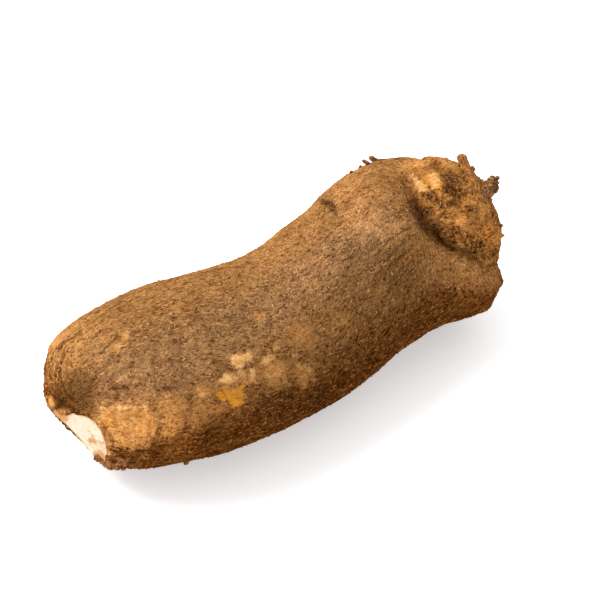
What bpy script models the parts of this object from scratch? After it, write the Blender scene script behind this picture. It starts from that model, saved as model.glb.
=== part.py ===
"""A white yam tuber lying on its side, in metres, +Z up.

The tuber lies along X: its cut tail end is at -X and its head, with the crown lobe, at +X.
The origin is on the small flat spot that it rests on, under its belly.
"""

import math

import bmesh
import bpy
import numpy as np
from mathutils import Matrix

# Sections of the body across X: where each is, the middle of it, and its half width and half height.
SECTION_X = np.array([-0.165, -0.140, -0.115, -0.085, -0.050, -0.010, 0.030, 0.065, 0.095, 0.120, 0.150])
SECTION_Y = np.array([0.017, 0.0155, 0.007, 0.0002, -0.005, -0.006, -0.001, 0.0055, 0.0065, 0.000, -0.002])
SECTION_Z = np.array([0.0615, 0.0530, 0.0568, 0.0588, 0.0556, 0.0535, 0.0548, 0.0586, 0.0613, 0.062, 0.062])
HALF_WIDTH = np.array([0.052, 0.052, 0.0538, 0.0575, 0.056, 0.0545, 0.056, 0.058, 0.0595, 0.059, 0.056])
HALF_HEIGHT = np.array([0.052, 0.0517, 0.0528, 0.0563, 0.0554, 0.0544, 0.0560, 0.0572, 0.0587, 0.059, 0.056])

# The rounded ends: where the body stops being a plain tube, and how far each end stands out past that.
TAIL_START_X = -0.118
TAIL_LENGTH = 0.046
HEAD_START_X = 0.121
HEAD_LENGTH = 0.032
HEAD_EYE = np.array([0.1170, -0.0030, 0.0700])
END_BLUNTNESS = 2.15

# The head slopes down towards the crown: a plane across it, and how widely its shoulder is rounded.
SLOPE_POINT = np.array([0.134, -0.0045, 0.074])
SLOPE_NORMAL = np.array([0.492, -0.407, 0.764])
SLOPE_ROUNDING = 0.014

# The crown lobe, which the vine grew from: a short fat knob on the slope of the head.
CROWN_CENTRE = np.array([0.1245, -0.0045, 0.0790])
CROWN_AXIS = np.array([0.933, -0.163, 0.261])
CROWN_RADIUS = 0.0380
CROWN_HALF_LENGTH = 0.030
CROWN_BLUNTNESS = 2.3

# The crease where crown and body meet: a sharp groove on the near side that closes up over the top.
CREASE_BLEND = 0.009
CLOSED_BLEND = 0.018
CREASE_DEPTH = 0.0015
CREASE_WIDTH = 0.007
CREASE_CLOSES_Y = (0.000, 0.034)

# Uneven growth: broad lumps everywhere, and closer ones on the crown. Each is a sum of seeded waves.
LUMP_WAVES = 14
LUMP_SEED = 5
BODY_LUMP_HEIGHT = 0.0005
BODY_LUMP_LENGTHS = (0.045, 0.090)
CROWN_LUMP_HEIGHT = 0.0011
CROWN_LUMP_LENGTHS = (0.016, 0.030)

# The face at the tail where a piece was cut away.
CUT_POINT = np.array([-0.1583, 0.0005, 0.0550])
CUT_NORMAL = np.array([-0.955, -0.235, -0.178])

# What stands out of the tuber. For each: the points along it, its radius at each, and its number of sides.
VINE_STUMP = (
    [
        (0.1330, -0.0290, 0.0970),
        (0.1315, -0.0232, 0.1092),
        (0.1315, -0.0145, 0.1166),
        (0.1322, -0.0075, 0.1207),
        (0.1326, -0.0045, 0.1230),
        (0.1327, -0.0034, 0.1242),
    ],
    [0.0036, 0.0034, 0.0032, 0.0033, 0.0028, 0.0016],
    8,
)
BUD_STUB = (
    [
        (0.1260, -0.0200, 0.0990),
        (0.1335, -0.0255, 0.1070),
        (0.1382, -0.0272, 0.1122),
        (0.1412, -0.0285, 0.1150),
    ],
    [0.0045, 0.0038, 0.0060, 0.0054],
    8,
)
LONG_ROOT = (
    [
        (0.1260, 0.0300, 0.1000),
        (0.1180, 0.0370, 0.1038),
        (0.1080, 0.0415, 0.1048),
        (0.1010, 0.0455, 0.1050),
        (0.0965, 0.0485, 0.1078),
    ],
    [0.0014, 0.0014, 0.0013, 0.0013, 0.0010],
    6,
)
SHORT_ROOT = (
    [
        (0.0980, 0.0360, 0.1000),
        (0.0930, 0.0410, 0.1055),
        (0.0900, 0.0445, 0.1080),
        (0.0885, 0.0465, 0.1090),
    ],
    [0.0012, 0.0011, 0.0010, 0.0007],
    6,
)
CROWN_SPUR = (
    [
        (0.1280, -0.0400, 0.0820),
        (0.1330, -0.0440, 0.0838),
        (0.1365, -0.0462, 0.0840),
    ],
    [0.0046, 0.0034, 0.0010],
    6,
)

# Small knots of skin: where each is, and its radius.
KNOTS = [
    ((-0.1490, -0.0128, 0.0259), 0.0032),
    ((-0.1492, -0.0048, 0.0225), 0.0028),
    ((-0.1516, -0.0028, 0.0255), 0.0019),
    ((-0.1454, -0.0223, 0.0375), 0.0030),
    ((-0.1462, -0.0168, 0.0296), 0.0028),
    ((-0.1200, -0.036, 0.0285), 0.0034),
]

# Root scars: short cones, scattered by a seeded draw over the body and, more closely, over the crown.
SCAR_SEED = 11
BODY_SCARS = 18
BODY_SCAR_X = (-0.120, 0.090)
CROWN_SCARS = 10
CROWN_SCAR_LEAN = (0.5, 1.5)
SCAR_TURN = (-0.5, 3.6)
SCAR_RADIUS = (0.0010, 0.0018)
SCAR_HEIGHT = (0.0008, 0.0018)
SCAR_ROOT = 0.003
SCAR_SIDES = 5

# How finely the surface is divided, and how far out from the spine it may lie.
STRAIGHT_ROWS = 24
STRAIGHT_X = (-0.100, 0.060)
ROWS_IN_TAIL = 13
ROWS_IN_HEAD = 34
POINTS_AROUND = 68
FARTHEST = 0.14
BISECTIONS = 32

SKIN_COLOUR = (0.30, 0.17, 0.07, 1.0)


def smooth_curve(at, places, values):
    """The value at each place on a smooth curve of cubic pieces through the given points."""
    slopes = np.gradient(values, places)
    piece = np.clip(np.searchsorted(places, at) - 1, 0, len(places) - 2)
    span = places[piece + 1] - places[piece]
    t = np.clip((at - places[piece]) / span, 0.0, 1.0)
    start, end = values[piece], values[piece + 1]
    leaving, arriving = slopes[piece] * span, slopes[piece + 1] * span
    return (
        start * (1 + 2 * t) * (1 - t) ** 2
        + leaving * t * (1 - t) ** 2
        + end * t**2 * (3 - 2 * t)
        + arriving * t**2 * (t - 1)
    )


def body_depth(points):
    """How far outside the body a point is, from its share of the section's half width and height."""
    x, y, z = points.T
    half_width = smooth_curve(x, SECTION_X, HALF_WIDTH)
    half_height = smooth_curve(x, SECTION_X, HALF_HEIGHT)
    across = (y - smooth_curve(x, SECTION_X, SECTION_Y)) / half_width
    up = (z - smooth_curve(x, SECTION_X, SECTION_Z)) / half_height
    past_tail = np.maximum(0.0, TAIL_START_X - x) / TAIL_LENGTH
    past_head = np.maximum(0.0, x - HEAD_START_X) / HEAD_LENGTH
    radial = np.hypot(across, up) ** END_BLUNTNESS
    ends = past_tail**END_BLUNTNESS + past_head**END_BLUNTNESS
    return ((radial + ends) ** (1 / END_BLUNTNESS) - 1) * half_width


def smooth_step(share):
    """Nought below 0, one above 1, and an even rise between."""
    share = np.clip(share, 0.0, 1.0)
    return share * share * (3 - 2 * share)


def unit(vector):
    """The vector at length one."""
    return vector / np.linalg.norm(vector)


def crown_depth(points):
    """How far outside the crown lobe's knob a point is."""
    from_centre = points - CROWN_CENTRE
    along = from_centre @ unit(CROWN_AXIS)
    out = np.linalg.norm(from_centre - along[:, None] * unit(CROWN_AXIS), axis=1)
    inside = (out / CROWN_RADIUS) ** CROWN_BLUNTNESS + (np.abs(along) / CROWN_HALF_LENGTH) ** CROWN_BLUNTNESS
    return (inside ** (1 / CROWN_BLUNTNESS) - 1) * CROWN_RADIUS


def smooth_least(first, second, blend):
    """The lesser of two depths, rounded where they are within blend of each other."""
    share = np.clip(0.5 + 0.5 * (second - first) / blend, 0.0, 1.0)
    return second + (first - second) * share - blend * share * (1 - share)


def smooth_most(first, second, blend):
    """The greater of two depths, rounded in the same way."""
    return -smooth_least(-first, -second, blend)


def lumps(points, height, lengths):
    """Smooth lumps: seeded waves of random heading and phase, with lengths in the given range, summed."""
    draw = np.random.default_rng(LUMP_SEED)
    headings = draw.normal(size=(LUMP_WAVES, 3))
    headings /= np.linalg.norm(headings, axis=1)[:, None]
    turns_per_metre = 2 * math.pi / draw.uniform(*lengths, LUMP_WAVES)
    phases = draw.uniform(0, 2 * math.pi, LUMP_WAVES)
    waves = np.sin(points @ (headings * turns_per_metre[:, None]).T + phases)
    return height * waves.sum(axis=1) * math.sqrt(2 / LUMP_WAVES)


def tuber_depth(points):
    """How far outside the tuber a point is: body and crown grown together, with their crease and lumps."""
    slope = (points - SLOPE_POINT) @ unit(SLOPE_NORMAL)
    body = smooth_most(body_depth(points), slope, SLOPE_ROUNDING)
    crown = crown_depth(points)
    closed = smooth_step((points[:, 1] - CREASE_CLOSES_Y[0]) / (CREASE_CLOSES_Y[1] - CREASE_CLOSES_Y[0]))
    grown = smooth_least(body, crown, CREASE_BLEND + (CLOSED_BLEND - CREASE_BLEND) * closed)
    crease = (1 - closed) * CREASE_DEPTH * np.exp(-(((body - crown) / CREASE_WIDTH) ** 2))
    on_crown = np.clip(0.5 + (body - crown) / CREASE_WIDTH, 0.0, 1.0)
    body_lumps = lumps(points, BODY_LUMP_HEIGHT, BODY_LUMP_LENGTHS)
    crown_lumps = on_crown * lumps(points, CROWN_LUMP_HEIGHT, CROWN_LUMP_LENGTHS)
    return grown + crease - body_lumps - crown_lumps


def end_rows(straight_x, end_x, count):
    """Where the rows of one end start on the spine and how far they lean, easing in from the body."""
    share = np.arange(1, count) / count
    return straight_x + (end_x - straight_x) * share * (2 - share), math.pi / 2 * share**1.5


def spine(x):
    """The points at the middle of the body's sections."""
    return np.stack([x, smooth_curve(x, SECTION_X, SECTION_Y), smooth_curve(x, SECTION_X, SECTION_Z)], axis=-1)


def units(vectors):
    """Each vector at length one."""
    return vectors / np.linalg.norm(vectors, axis=-1, keepdims=True)


def rays():
    """Rows of rays: straight out of the spine along the body, and leaning over at each end.

    Over the head's rows the starts move from the spine to HEAD_EYE, and the fan's axis from X to the crown's.
    """
    tail_x, tail_lean = end_rows(STRAIGHT_X[0], TAIL_START_X, ROWS_IN_TAIL)
    head_x, head_lean = end_rows(STRAIGHT_X[1], HEAD_EYE[0], ROWS_IN_HEAD)
    straight_x = np.linspace(*STRAIGHT_X, STRAIGHT_ROWS)
    x = np.concatenate([[TAIL_START_X], tail_x[::-1], straight_x, head_x, HEAD_EYE[:1]])
    no_lean = np.zeros(STRAIGHT_ROWS)
    lean = np.concatenate([[-math.pi / 2], -tail_lean[::-1], no_lean, head_lean, [math.pi / 2]])
    in_head = smooth_step((x - STRAIGHT_X[1]) / (HEAD_EYE[0] - STRAIGHT_X[1]))[:, None]
    starts = spine(x) + in_head * (HEAD_EYE - spine(HEAD_EYE[:1]))
    axis = units(np.array([1.0, 0.0, 0.0]) * (1 - in_head) + unit(CROWN_AXIS) * in_head)
    side = units(np.cross([0.0, 0.0, 1.0], axis))
    up = np.cross(axis, side)
    turn = (np.arange(POINTS_AROUND) * 2 * math.pi / POINTS_AROUND)[:, None]
    around = np.cos(turn) * side[:, None] + np.sin(turn) * up[:, None]
    heads = np.sin(lean)[:, None, None] * axis[:, None] + np.cos(lean)[:, None, None] * around
    return np.broadcast_to(starts[:, None], heads.shape), heads


def surface_points(starts, heads):
    """Where each ray leaves the tuber, by halving the stretch that it leaves in."""
    near = np.zeros(len(starts))
    far = np.full(len(starts), FARTHEST)
    for _ in range(BISECTIONS):
        middle = (near + far) / 2
        outside = tuber_depth(starts + heads * middle[:, None]) > 0
        far = np.where(outside, middle, far)
        near = np.where(outside, near, middle)
    return starts + heads * near[:, None]


def tuber_mesh():
    """The tuber as a closed mesh of rings, with one pole point at each end."""
    starts, heads = rays()
    rows, around = starts.shape[:2]
    points = surface_points(starts.reshape(-1, 3), heads.reshape(-1, 3))
    index = np.arange(rows * around).reshape(rows, around)
    index[0] = index[0, 0]
    index[-1] = index[-1, 0]
    following = np.roll(index, -1, axis=1)
    quads = np.stack([index[1:-2], index[2:-1], following[2:-1], following[1:-2]], axis=-1).reshape(-1, 4)
    tail = np.stack([index[0], index[1], following[1]], axis=-1)
    head = np.stack([index[-2], index[-1], following[-2]], axis=-1)
    mesh = bpy.data.meshes.new("yam")
    mesh.from_pydata(points.tolist(), [], quads.tolist() + tail.tolist() + head.tolist())
    return mesh


def tube_object(name, path, radii, sides):
    """A closed tube through the points, a ring of the given radius at each, with a flat fan at both ends."""
    path = np.array(path)
    along = np.gradient(path, axis=0)
    along /= np.linalg.norm(along, axis=1)[:, None]
    across = np.cross(along, (0.0, 0.0, 1.0) if abs(along[0, 2]) < 0.9 else (0.0, 1.0, 0.0))
    across /= np.linalg.norm(across, axis=1)[:, None]
    upward = np.cross(across, along)
    turn = np.arange(sides) * 2 * math.pi / sides
    outward = across[:, None] * np.cos(turn)[:, None] + upward[:, None] * np.sin(turn)[:, None]
    rings = path[:, None] + outward * np.array(radii)[:, None, None]
    count = len(path)
    index = np.arange(count * sides).reshape(count, sides)
    following = np.roll(index, -1, axis=1)
    quads = np.stack([index[:-1], index[1:], following[1:], following[:-1]], axis=-1).reshape(-1, 4)
    mesh = bpy.data.meshes.new(name)
    ends = [index[0].tolist(), index[-1, ::-1].tolist()]
    mesh.from_pydata(rings.reshape(-1, 3).tolist(), [], quads.tolist() + ends)
    return closed_object(name, mesh)


def closed_object(name, mesh):
    """An object of the mesh, with its faces turned outwards."""
    work = bmesh.new()
    work.from_mesh(mesh)
    bmesh.ops.recalc_face_normals(work, faces=work.faces[:])
    work.to_mesh(mesh)
    work.free()
    made = bpy.data.objects.new(name, mesh)
    bpy.context.scene.collection.objects.link(made)
    return made


def knot_object(name, centre, radius):
    """A small round knot."""
    mesh = bpy.data.meshes.new(name)
    work = bmesh.new()
    bmesh.ops.create_icosphere(work, subdivisions=2, radius=radius, matrix=Matrix.Translation(centre))
    work.to_mesh(mesh)
    work.free()
    return closed_object(name, mesh)


def scar_objects():
    """Short cones that stand out of the skin where the tuber's roots broke off."""
    draw = np.random.default_rng(SCAR_SEED)
    count = BODY_SCARS + CROWN_SCARS
    on_body = np.arange(count) < BODY_SCARS
    x = np.where(on_body, draw.uniform(*BODY_SCAR_X, count), HEAD_START_X)
    lean = np.where(on_body, 0.0, draw.uniform(*CROWN_SCAR_LEAN, count))
    turn = draw.uniform(*SCAR_TURN, count)
    heads = np.stack([np.sin(lean), np.cos(lean) * np.cos(turn), np.cos(lean) * np.sin(turn)], axis=-1)
    feet = surface_points(spine(x), heads)
    radii = draw.uniform(*SCAR_RADIUS, count)
    heights = draw.uniform(*SCAR_HEIGHT, count)
    made = []
    for number, (foot, head, radius, height) in enumerate(zip(feet, heads, radii, heights)):
        path = [foot - head * SCAR_ROOT, foot, foot + head * height]
        radii_along = [radius * 1.4, radius * 1.3, radius * 0.6]
        made.append(tube_object(f"scar_{number}", path, radii_along, SCAR_SIDES))
    return made


def join(main_object, others):
    """Grows the other objects into the main one, by one Boolean union, and removes them."""
    group = bpy.data.collections.new("growths")
    bpy.context.scene.collection.children.link(group)
    for other in others:
        bpy.context.scene.collection.objects.unlink(other)
        group.objects.link(other)
    union = main_object.modifiers.new("union", "BOOLEAN")
    union.operation = "UNION"
    union.operand_type = "COLLECTION"
    union.collection = group
    bpy.context.view_layer.objects.active = main_object
    bpy.ops.object.modifier_apply(modifier=union.name)
    for other in others:
        bpy.data.objects.remove(other)
    bpy.data.collections.remove(group)


def cut_flat(mesh, point, normal):
    """Takes off what lies past a plane, and closes the cut with one flat face."""
    work = bmesh.new()
    work.from_mesh(mesh)
    whole = work.verts[:] + work.edges[:] + work.faces[:]
    cut = bmesh.ops.bisect_plane(work, geom=whole, plane_co=point, plane_no=normal, clear_outer=True)
    edges = [part for part in cut["geom_cut"] if isinstance(part, bmesh.types.BMEdge)]
    bmesh.ops.holes_fill(work, edges=edges)
    bmesh.ops.recalc_face_normals(work, faces=work.faces[:])
    work.to_mesh(mesh)
    work.free()


def skin_material():
    """Dry brown skin."""
    material = bpy.data.materials.new("yam_skin")
    material.use_nodes = True
    shader = material.node_tree.nodes["Principled BSDF"]
    shader.inputs["Base Color"].default_value = SKIN_COLOUR
    shader.inputs["Roughness"].default_value = 0.85
    return material


def main():
    for leftover in list(bpy.data.objects):
        bpy.data.objects.remove(leftover)
    yam = closed_object("yam", tuber_mesh())
    growths = scar_objects()
    tubes = (VINE_STUMP, BUD_STUB, LONG_ROOT, SHORT_ROOT, CROWN_SPUR)
    growths += [tube_object("growth", *shape) for shape in tubes]
    growths += [knot_object("knot", centre, radius) for centre, radius in KNOTS]
    cut_flat(yam.data, CUT_POINT, CUT_NORMAL)
    cut_flat(yam.data, (0.0, 0.0, 0.0), (0.0, 0.0, -1.0))
    join(yam, growths)
    yam.data.materials.append(skin_material())
    yam.data.shade_smooth()


main()
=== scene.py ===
"""The looks of a white yam that lies on its side, one end cut, on a pale floor. Metres, +Z up."""

import math

import bpy
import numpy as np
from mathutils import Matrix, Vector


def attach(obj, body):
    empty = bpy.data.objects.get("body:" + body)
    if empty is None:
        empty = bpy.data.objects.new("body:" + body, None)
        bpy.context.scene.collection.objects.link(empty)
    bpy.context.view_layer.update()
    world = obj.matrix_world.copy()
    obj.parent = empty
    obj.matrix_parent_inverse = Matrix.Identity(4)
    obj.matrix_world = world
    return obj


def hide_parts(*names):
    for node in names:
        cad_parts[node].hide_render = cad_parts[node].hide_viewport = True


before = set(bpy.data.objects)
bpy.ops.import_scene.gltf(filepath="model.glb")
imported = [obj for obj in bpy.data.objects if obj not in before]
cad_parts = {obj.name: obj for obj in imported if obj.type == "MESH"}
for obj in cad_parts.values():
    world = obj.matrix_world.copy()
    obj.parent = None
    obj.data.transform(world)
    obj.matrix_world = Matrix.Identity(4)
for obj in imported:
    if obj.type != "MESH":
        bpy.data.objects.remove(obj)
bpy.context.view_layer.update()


# The camera
# It stands a metre off, on the side of the cut end, and looks down on the yam. Marks on the skin are drawn
# where this camera sees them, so its place comes first.

CAMERA_TURN = math.radians(-37.4)
CAMERA_HEIGHT = math.radians(42.0)
CAMERA_DISTANCE = 1.0
CAMERA_AIM = np.array([0.0070, 0.0034, 0.0628])
CAMERA_LENS = 93.75
SENSOR_WIDTH = 36.0
PICTURE_SIDE = 600

camera_ahead = np.array(
    [
        -math.sin(CAMERA_TURN) * math.cos(CAMERA_HEIGHT),
        math.cos(CAMERA_TURN) * math.cos(CAMERA_HEIGHT),
        -math.sin(CAMERA_HEIGHT),
    ]
)
camera_right = np.cross(camera_ahead, [0.0, 0.0, 1.0])
camera_right /= np.linalg.norm(camera_right)
camera_up = np.cross(camera_right, camera_ahead)
camera_place = CAMERA_AIM - camera_ahead * CAMERA_DISTANCE

camera_data = bpy.data.cameras.new("camera")
camera_data.lens = CAMERA_LENS
camera_data.sensor_width = SENSOR_WIDTH
camera_data.clip_start = 0.05
camera_data.clip_end = 50.0
camera = bpy.data.objects.new("camera", camera_data)
camera.location = Vector(camera_place)
camera.rotation_mode = "QUATERNION"
camera.rotation_quaternion = Vector(camera_ahead).to_track_quat("-Z", "Y")
bpy.context.scene.collection.objects.link(camera)
bpy.context.scene.camera = camera


def seen_at(points):
    """Where the camera sees each point, in picture units from the top left: right and down over the depth."""
    from_camera = points - camera_place
    focal = CAMERA_LENS / SENSOR_WIDTH * PICTURE_SIDE / (from_camera @ camera_ahead)
    right = PICTURE_SIDE / 2 + focal * (from_camera @ camera_right)
    down = PICTURE_SIDE / 2 - focal * (from_camera @ camera_up)
    return np.stack([right, down], axis=-1)


# The tuber
# One swollen storage root that grew as a single piece: a stout waisted body, a rounded tail that was cut off
# at its end, and a head with the crown lobe that the vine grew from. The same form as the solid, with a finer
# skin: dry cork, cracked and ridged along the root, worn off in patches down to the tan layer below.

SECTION_X = np.array([-0.165, -0.140, -0.115, -0.085, -0.050, -0.010, 0.030, 0.065, 0.095, 0.120, 0.150])
SECTION_Y = np.array([0.017, 0.0155, 0.007, 0.0002, -0.005, -0.006, -0.001, 0.0055, 0.0065, 0.000, -0.002])
SECTION_Z = np.array([0.0615, 0.0530, 0.0568, 0.0588, 0.0556, 0.0535, 0.0548, 0.0586, 0.0613, 0.062, 0.062])
HALF_WIDTH = np.array([0.052, 0.052, 0.0538, 0.0575, 0.056, 0.0545, 0.056, 0.058, 0.0595, 0.059, 0.056])
HALF_HEIGHT = np.array([0.052, 0.0517, 0.0528, 0.0563, 0.0554, 0.0544, 0.0560, 0.0572, 0.0587, 0.059, 0.056])
TAIL_START_X = -0.118
TAIL_LENGTH = 0.046
HEAD_START_X = 0.121
HEAD_LENGTH = 0.032
HEAD_EYE = np.array([0.1170, -0.0030, 0.0700])
END_BLUNTNESS = 2.15
SLOPE_POINT = np.array([0.134, -0.0045, 0.074])
SLOPE_NORMAL = np.array([0.492, -0.407, 0.764])
SLOPE_ROUNDING = 0.014
CROWN_CENTRE = np.array([0.1245, -0.0045, 0.0790])
CROWN_AXIS = np.array([0.933, -0.163, 0.261])
CROWN_RADIUS = 0.0380
CROWN_HALF_LENGTH = 0.030
CROWN_BLUNTNESS = 2.3
CREASE_BLEND = 0.006
CLOSED_BLEND = 0.018
CREASE_DEPTH = 0.0024
CREASE_WIDTH = 0.005
CREASE_CLOSES_ABOVE = (0.000, 0.034)
CREASE_CLOSES_BELOW = (-0.028, -0.043)
LUMP_WAVES = 14
LUMP_SEED = 5
BODY_LUMP_HEIGHT = 0.0005
BODY_LUMP_LENGTHS = (0.045, 0.090)
CROWN_LUMP_HEIGHT = 0.0011
CROWN_LUMP_LENGTHS = (0.016, 0.030)
CUT_POINT = np.array([-0.1583, 0.0005, 0.0550])
CUT_NORMAL = np.array([-0.955, -0.235, -0.178])
STRAIGHT_X = (-0.100, 0.060)
ROWS_ALONG = 344
POINTS_AROUND = 288
FARTHEST = 0.14
BISECTIONS = 26


def smooth_curve(at, places, values):
    """The value at each place on a smooth curve of cubic pieces through the given points."""
    slopes = np.gradient(values, places)
    piece = np.clip(np.searchsorted(places, at) - 1, 0, len(places) - 2)
    span = places[piece + 1] - places[piece]
    t = np.clip((at - places[piece]) / span, 0.0, 1.0)
    start, end = values[piece], values[piece + 1]
    leaving, arriving = slopes[piece] * span, slopes[piece + 1] * span
    return (
        start * (1 + 2 * t) * (1 - t) ** 2
        + leaving * t * (1 - t) ** 2
        + end * t**2 * (3 - 2 * t)
        + arriving * t**2 * (t - 1)
    )


def smooth_step(share):
    """Nought below 0, one above 1, and an even rise between."""
    share = np.clip(share, 0.0, 1.0)
    return share * share * (3 - 2 * share)


def share_between(values, start, end):
    """How far on from start to end each value is, on a smooth step."""
    return smooth_step((values - start) / (end - start))


def units(vectors):
    """Each vector at length one."""
    return vectors / np.maximum(np.linalg.norm(vectors, axis=-1, keepdims=True), 1e-12)


def smooth_least(first, second, blend):
    """The lesser of two depths, rounded where they are within blend of each other."""
    share = np.clip(0.5 + 0.5 * (second - first) / blend, 0.0, 1.0)
    return second + (first - second) * share - blend * share * (1 - share)


def lumps(points, height, lengths):
    """Smooth lumps: seeded waves of random heading and phase, with lengths in the given range, summed."""
    draw = np.random.default_rng(LUMP_SEED)
    headings = units(draw.normal(size=(LUMP_WAVES, 3)))
    turns_per_metre = 2 * math.pi / draw.uniform(*lengths, LUMP_WAVES)
    phases = draw.uniform(0, 2 * math.pi, LUMP_WAVES)
    waves = np.sin(points @ (headings * turns_per_metre[:, None]).T + phases)
    return height * waves.sum(axis=1) * math.sqrt(2 / LUMP_WAVES)


def body_depth(points):
    """How far outside the body a point is, from its share of the section's half width and height."""
    x, y, z = points.T
    half_width = smooth_curve(x, SECTION_X, HALF_WIDTH)
    half_height = smooth_curve(x, SECTION_X, HALF_HEIGHT)
    across = (y - smooth_curve(x, SECTION_X, SECTION_Y)) / half_width
    up = (z - smooth_curve(x, SECTION_X, SECTION_Z)) / half_height
    past_tail = np.maximum(0.0, TAIL_START_X - x) / TAIL_LENGTH
    past_head = np.maximum(0.0, x - HEAD_START_X) / HEAD_LENGTH
    radial = np.hypot(across, up) ** END_BLUNTNESS
    ends = past_tail**END_BLUNTNESS + past_head**END_BLUNTNESS
    return ((radial + ends) ** (1 / END_BLUNTNESS) - 1) * half_width


def crown_depth(points):
    """How far outside the crown lobe's knob a point is: a barrel with rounded ends."""
    from_centre = points - CROWN_CENTRE
    along = from_centre @ units(CROWN_AXIS)
    out = np.linalg.norm(from_centre - along[:, None] * units(CROWN_AXIS), axis=1)
    inside = (out / CROWN_RADIUS) ** CROWN_BLUNTNESS + (np.abs(along) / CROWN_HALF_LENGTH) ** CROWN_BLUNTNESS
    return (inside ** (1 / CROWN_BLUNTNESS) - 1) * CROWN_RADIUS


def body_and_crown(points):
    """The depths of the body with its sloped head, and of the crown, and how far their crease has closed."""
    slope = (points - SLOPE_POINT) @ units(SLOPE_NORMAL)
    body = -smooth_least(-body_depth(points), -slope, SLOPE_ROUNDING)
    closed_above = share_between(points[:, 1], *CREASE_CLOSES_ABOVE)
    closed_below = share_between(points[:, 1], *CREASE_CLOSES_BELOW)
    return body, crown_depth(points), np.maximum(closed_above, closed_below)


def tuber_depth(points):
    """How far outside the tuber a point is: body and crown grown together, less their lumps, and cut off."""
    body, crown, closed = body_and_crown(points)
    grown = smooth_least(body, crown, CREASE_BLEND + (CLOSED_BLEND - CREASE_BLEND) * closed)
    crease = (1 - closed) * CREASE_DEPTH * np.exp(-(((body - crown) / CREASE_WIDTH) ** 2))
    on_crown = np.clip(0.5 + (body - crown) / CREASE_WIDTH, 0.0, 1.0)
    body_lumps = lumps(points, BODY_LUMP_HEIGHT, BODY_LUMP_LENGTHS)
    crown_lumps = on_crown * lumps(points, CROWN_LUMP_HEIGHT, CROWN_LUMP_LENGTHS)
    whole = grown + crease - body_lumps - crown_lumps
    past_cut = (points - CUT_POINT) @ units(CUT_NORMAL)
    return np.maximum(whole, np.maximum(past_cut, -points[:, 2]))


def spine(x):
    """The points at the middle of the body's sections."""
    return np.stack([x, smooth_curve(x, SECTION_X, SECTION_Y), smooth_curve(x, SECTION_X, SECTION_Z)], axis=-1)


def rays(along, count):
    """Rings of rays at shares along from the tail's pole to the head's: straight out of the spine between the
    ends, and leaning over at each end. Over the head, the starts move to HEAD_EYE and the fan turns to the
    crown."""
    tail_share = np.clip(1 - along / 0.2, 0.0, 1.0)
    head_share = np.clip((along - 0.6) / 0.4, 0.0, 1.0)
    straight = np.clip((along - 0.2) / 0.4, 0.0, 1.0)
    x = STRAIGHT_X[0] + (STRAIGHT_X[1] - STRAIGHT_X[0]) * straight
    x = x + (TAIL_START_X - STRAIGHT_X[0]) * tail_share * (2 - tail_share)
    x = x + (HEAD_EYE[0] - STRAIGHT_X[1]) * head_share * (2 - head_share)
    lean = math.pi / 2 * (head_share**1.5 - tail_share**1.5)
    in_head = smooth_step((x - STRAIGHT_X[1]) / (HEAD_EYE[0] - STRAIGHT_X[1]))[:, None]
    starts = spine(x) + in_head * (HEAD_EYE - spine(HEAD_EYE[:1]))
    axis = units(np.array([1.0, 0.0, 0.0]) * (1 - in_head) + units(CROWN_AXIS) * in_head)
    side = units(np.cross([0.0, 0.0, 1.0], axis))
    up = np.cross(axis, side)
    turn = (np.arange(count) * 2 * math.pi / count)[:, None]
    around = np.cos(turn) * side[:, None] + np.sin(turn) * up[:, None]
    heads = np.sin(lean)[:, None, None] * axis[:, None] + np.cos(lean)[:, None, None] * around
    return np.broadcast_to(starts[:, None], heads.shape), heads


def surface_points(starts, heads):
    """Where each ray leaves the tuber, by halving the stretch that it leaves in."""
    start, head = starts.reshape(-1, 3), heads.reshape(-1, 3)
    near = np.zeros(len(start))
    far = np.full(len(start), FARTHEST)
    for _ in range(BISECTIONS):
        middle = (near + far) / 2
        outside = tuber_depth(start + head * middle[:, None]) > 0
        far = np.where(outside, middle, far)
        near = np.where(outside, near, middle)
    return (start + head * near[:, None]).reshape(starts.shape)


def outward(points):
    """The way out of the tuber at each point: the slope of its depth, by steps of a third of a millimetre."""
    steps = np.eye(3) * 0.0003
    slopes = [tuber_depth(points + step) - tuber_depth(points - step) for step in steps]
    return units(np.stack(slopes, axis=-1))


def noise(points, size, seed):
    """Soft random waves from -1 to 1: seeded numbers at the corners of cubes of that size, blended across."""
    corner = np.floor(points / size)
    share = points / size - corner
    share = share * share * (3 - 2 * share)
    corner = corner.astype(np.int64)
    numbers = np.random.default_rng(seed).uniform(-1, 1, 8192)
    total = 0
    for step in np.ndindex(2, 2, 2):
        i, j, k = (corner + step).T
        weight = np.prod(np.where(step, share, 1 - share), axis=1)
        total = total + weight * numbers[(i * 92837111 ^ j * 689287499 ^ k * 283923481) % 8192]
    return total


# The rows are first laid coarsely, to find how far each ring lies from the next, and then spaced evenly.
coarse_along = np.linspace(0.0, 1.0, 161)
coarse = surface_points(*rays(coarse_along, 36))
ring_gaps = np.linalg.norm(np.diff(coarse, axis=0), axis=2)
travelled = np.concatenate([[0.0], np.cumsum(ring_gaps.mean(axis=1))])
even_along = np.interp(np.linspace(0.0, travelled[-1], ROWS_ALONG), travelled, coarse_along)
starts, heads = rays(even_along, POINTS_AROUND)
smooth_skin = surface_points(starts, heads)
skin_points = smooth_skin.reshape(-1, 3)
skin_normals = outward(skin_points)

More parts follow.
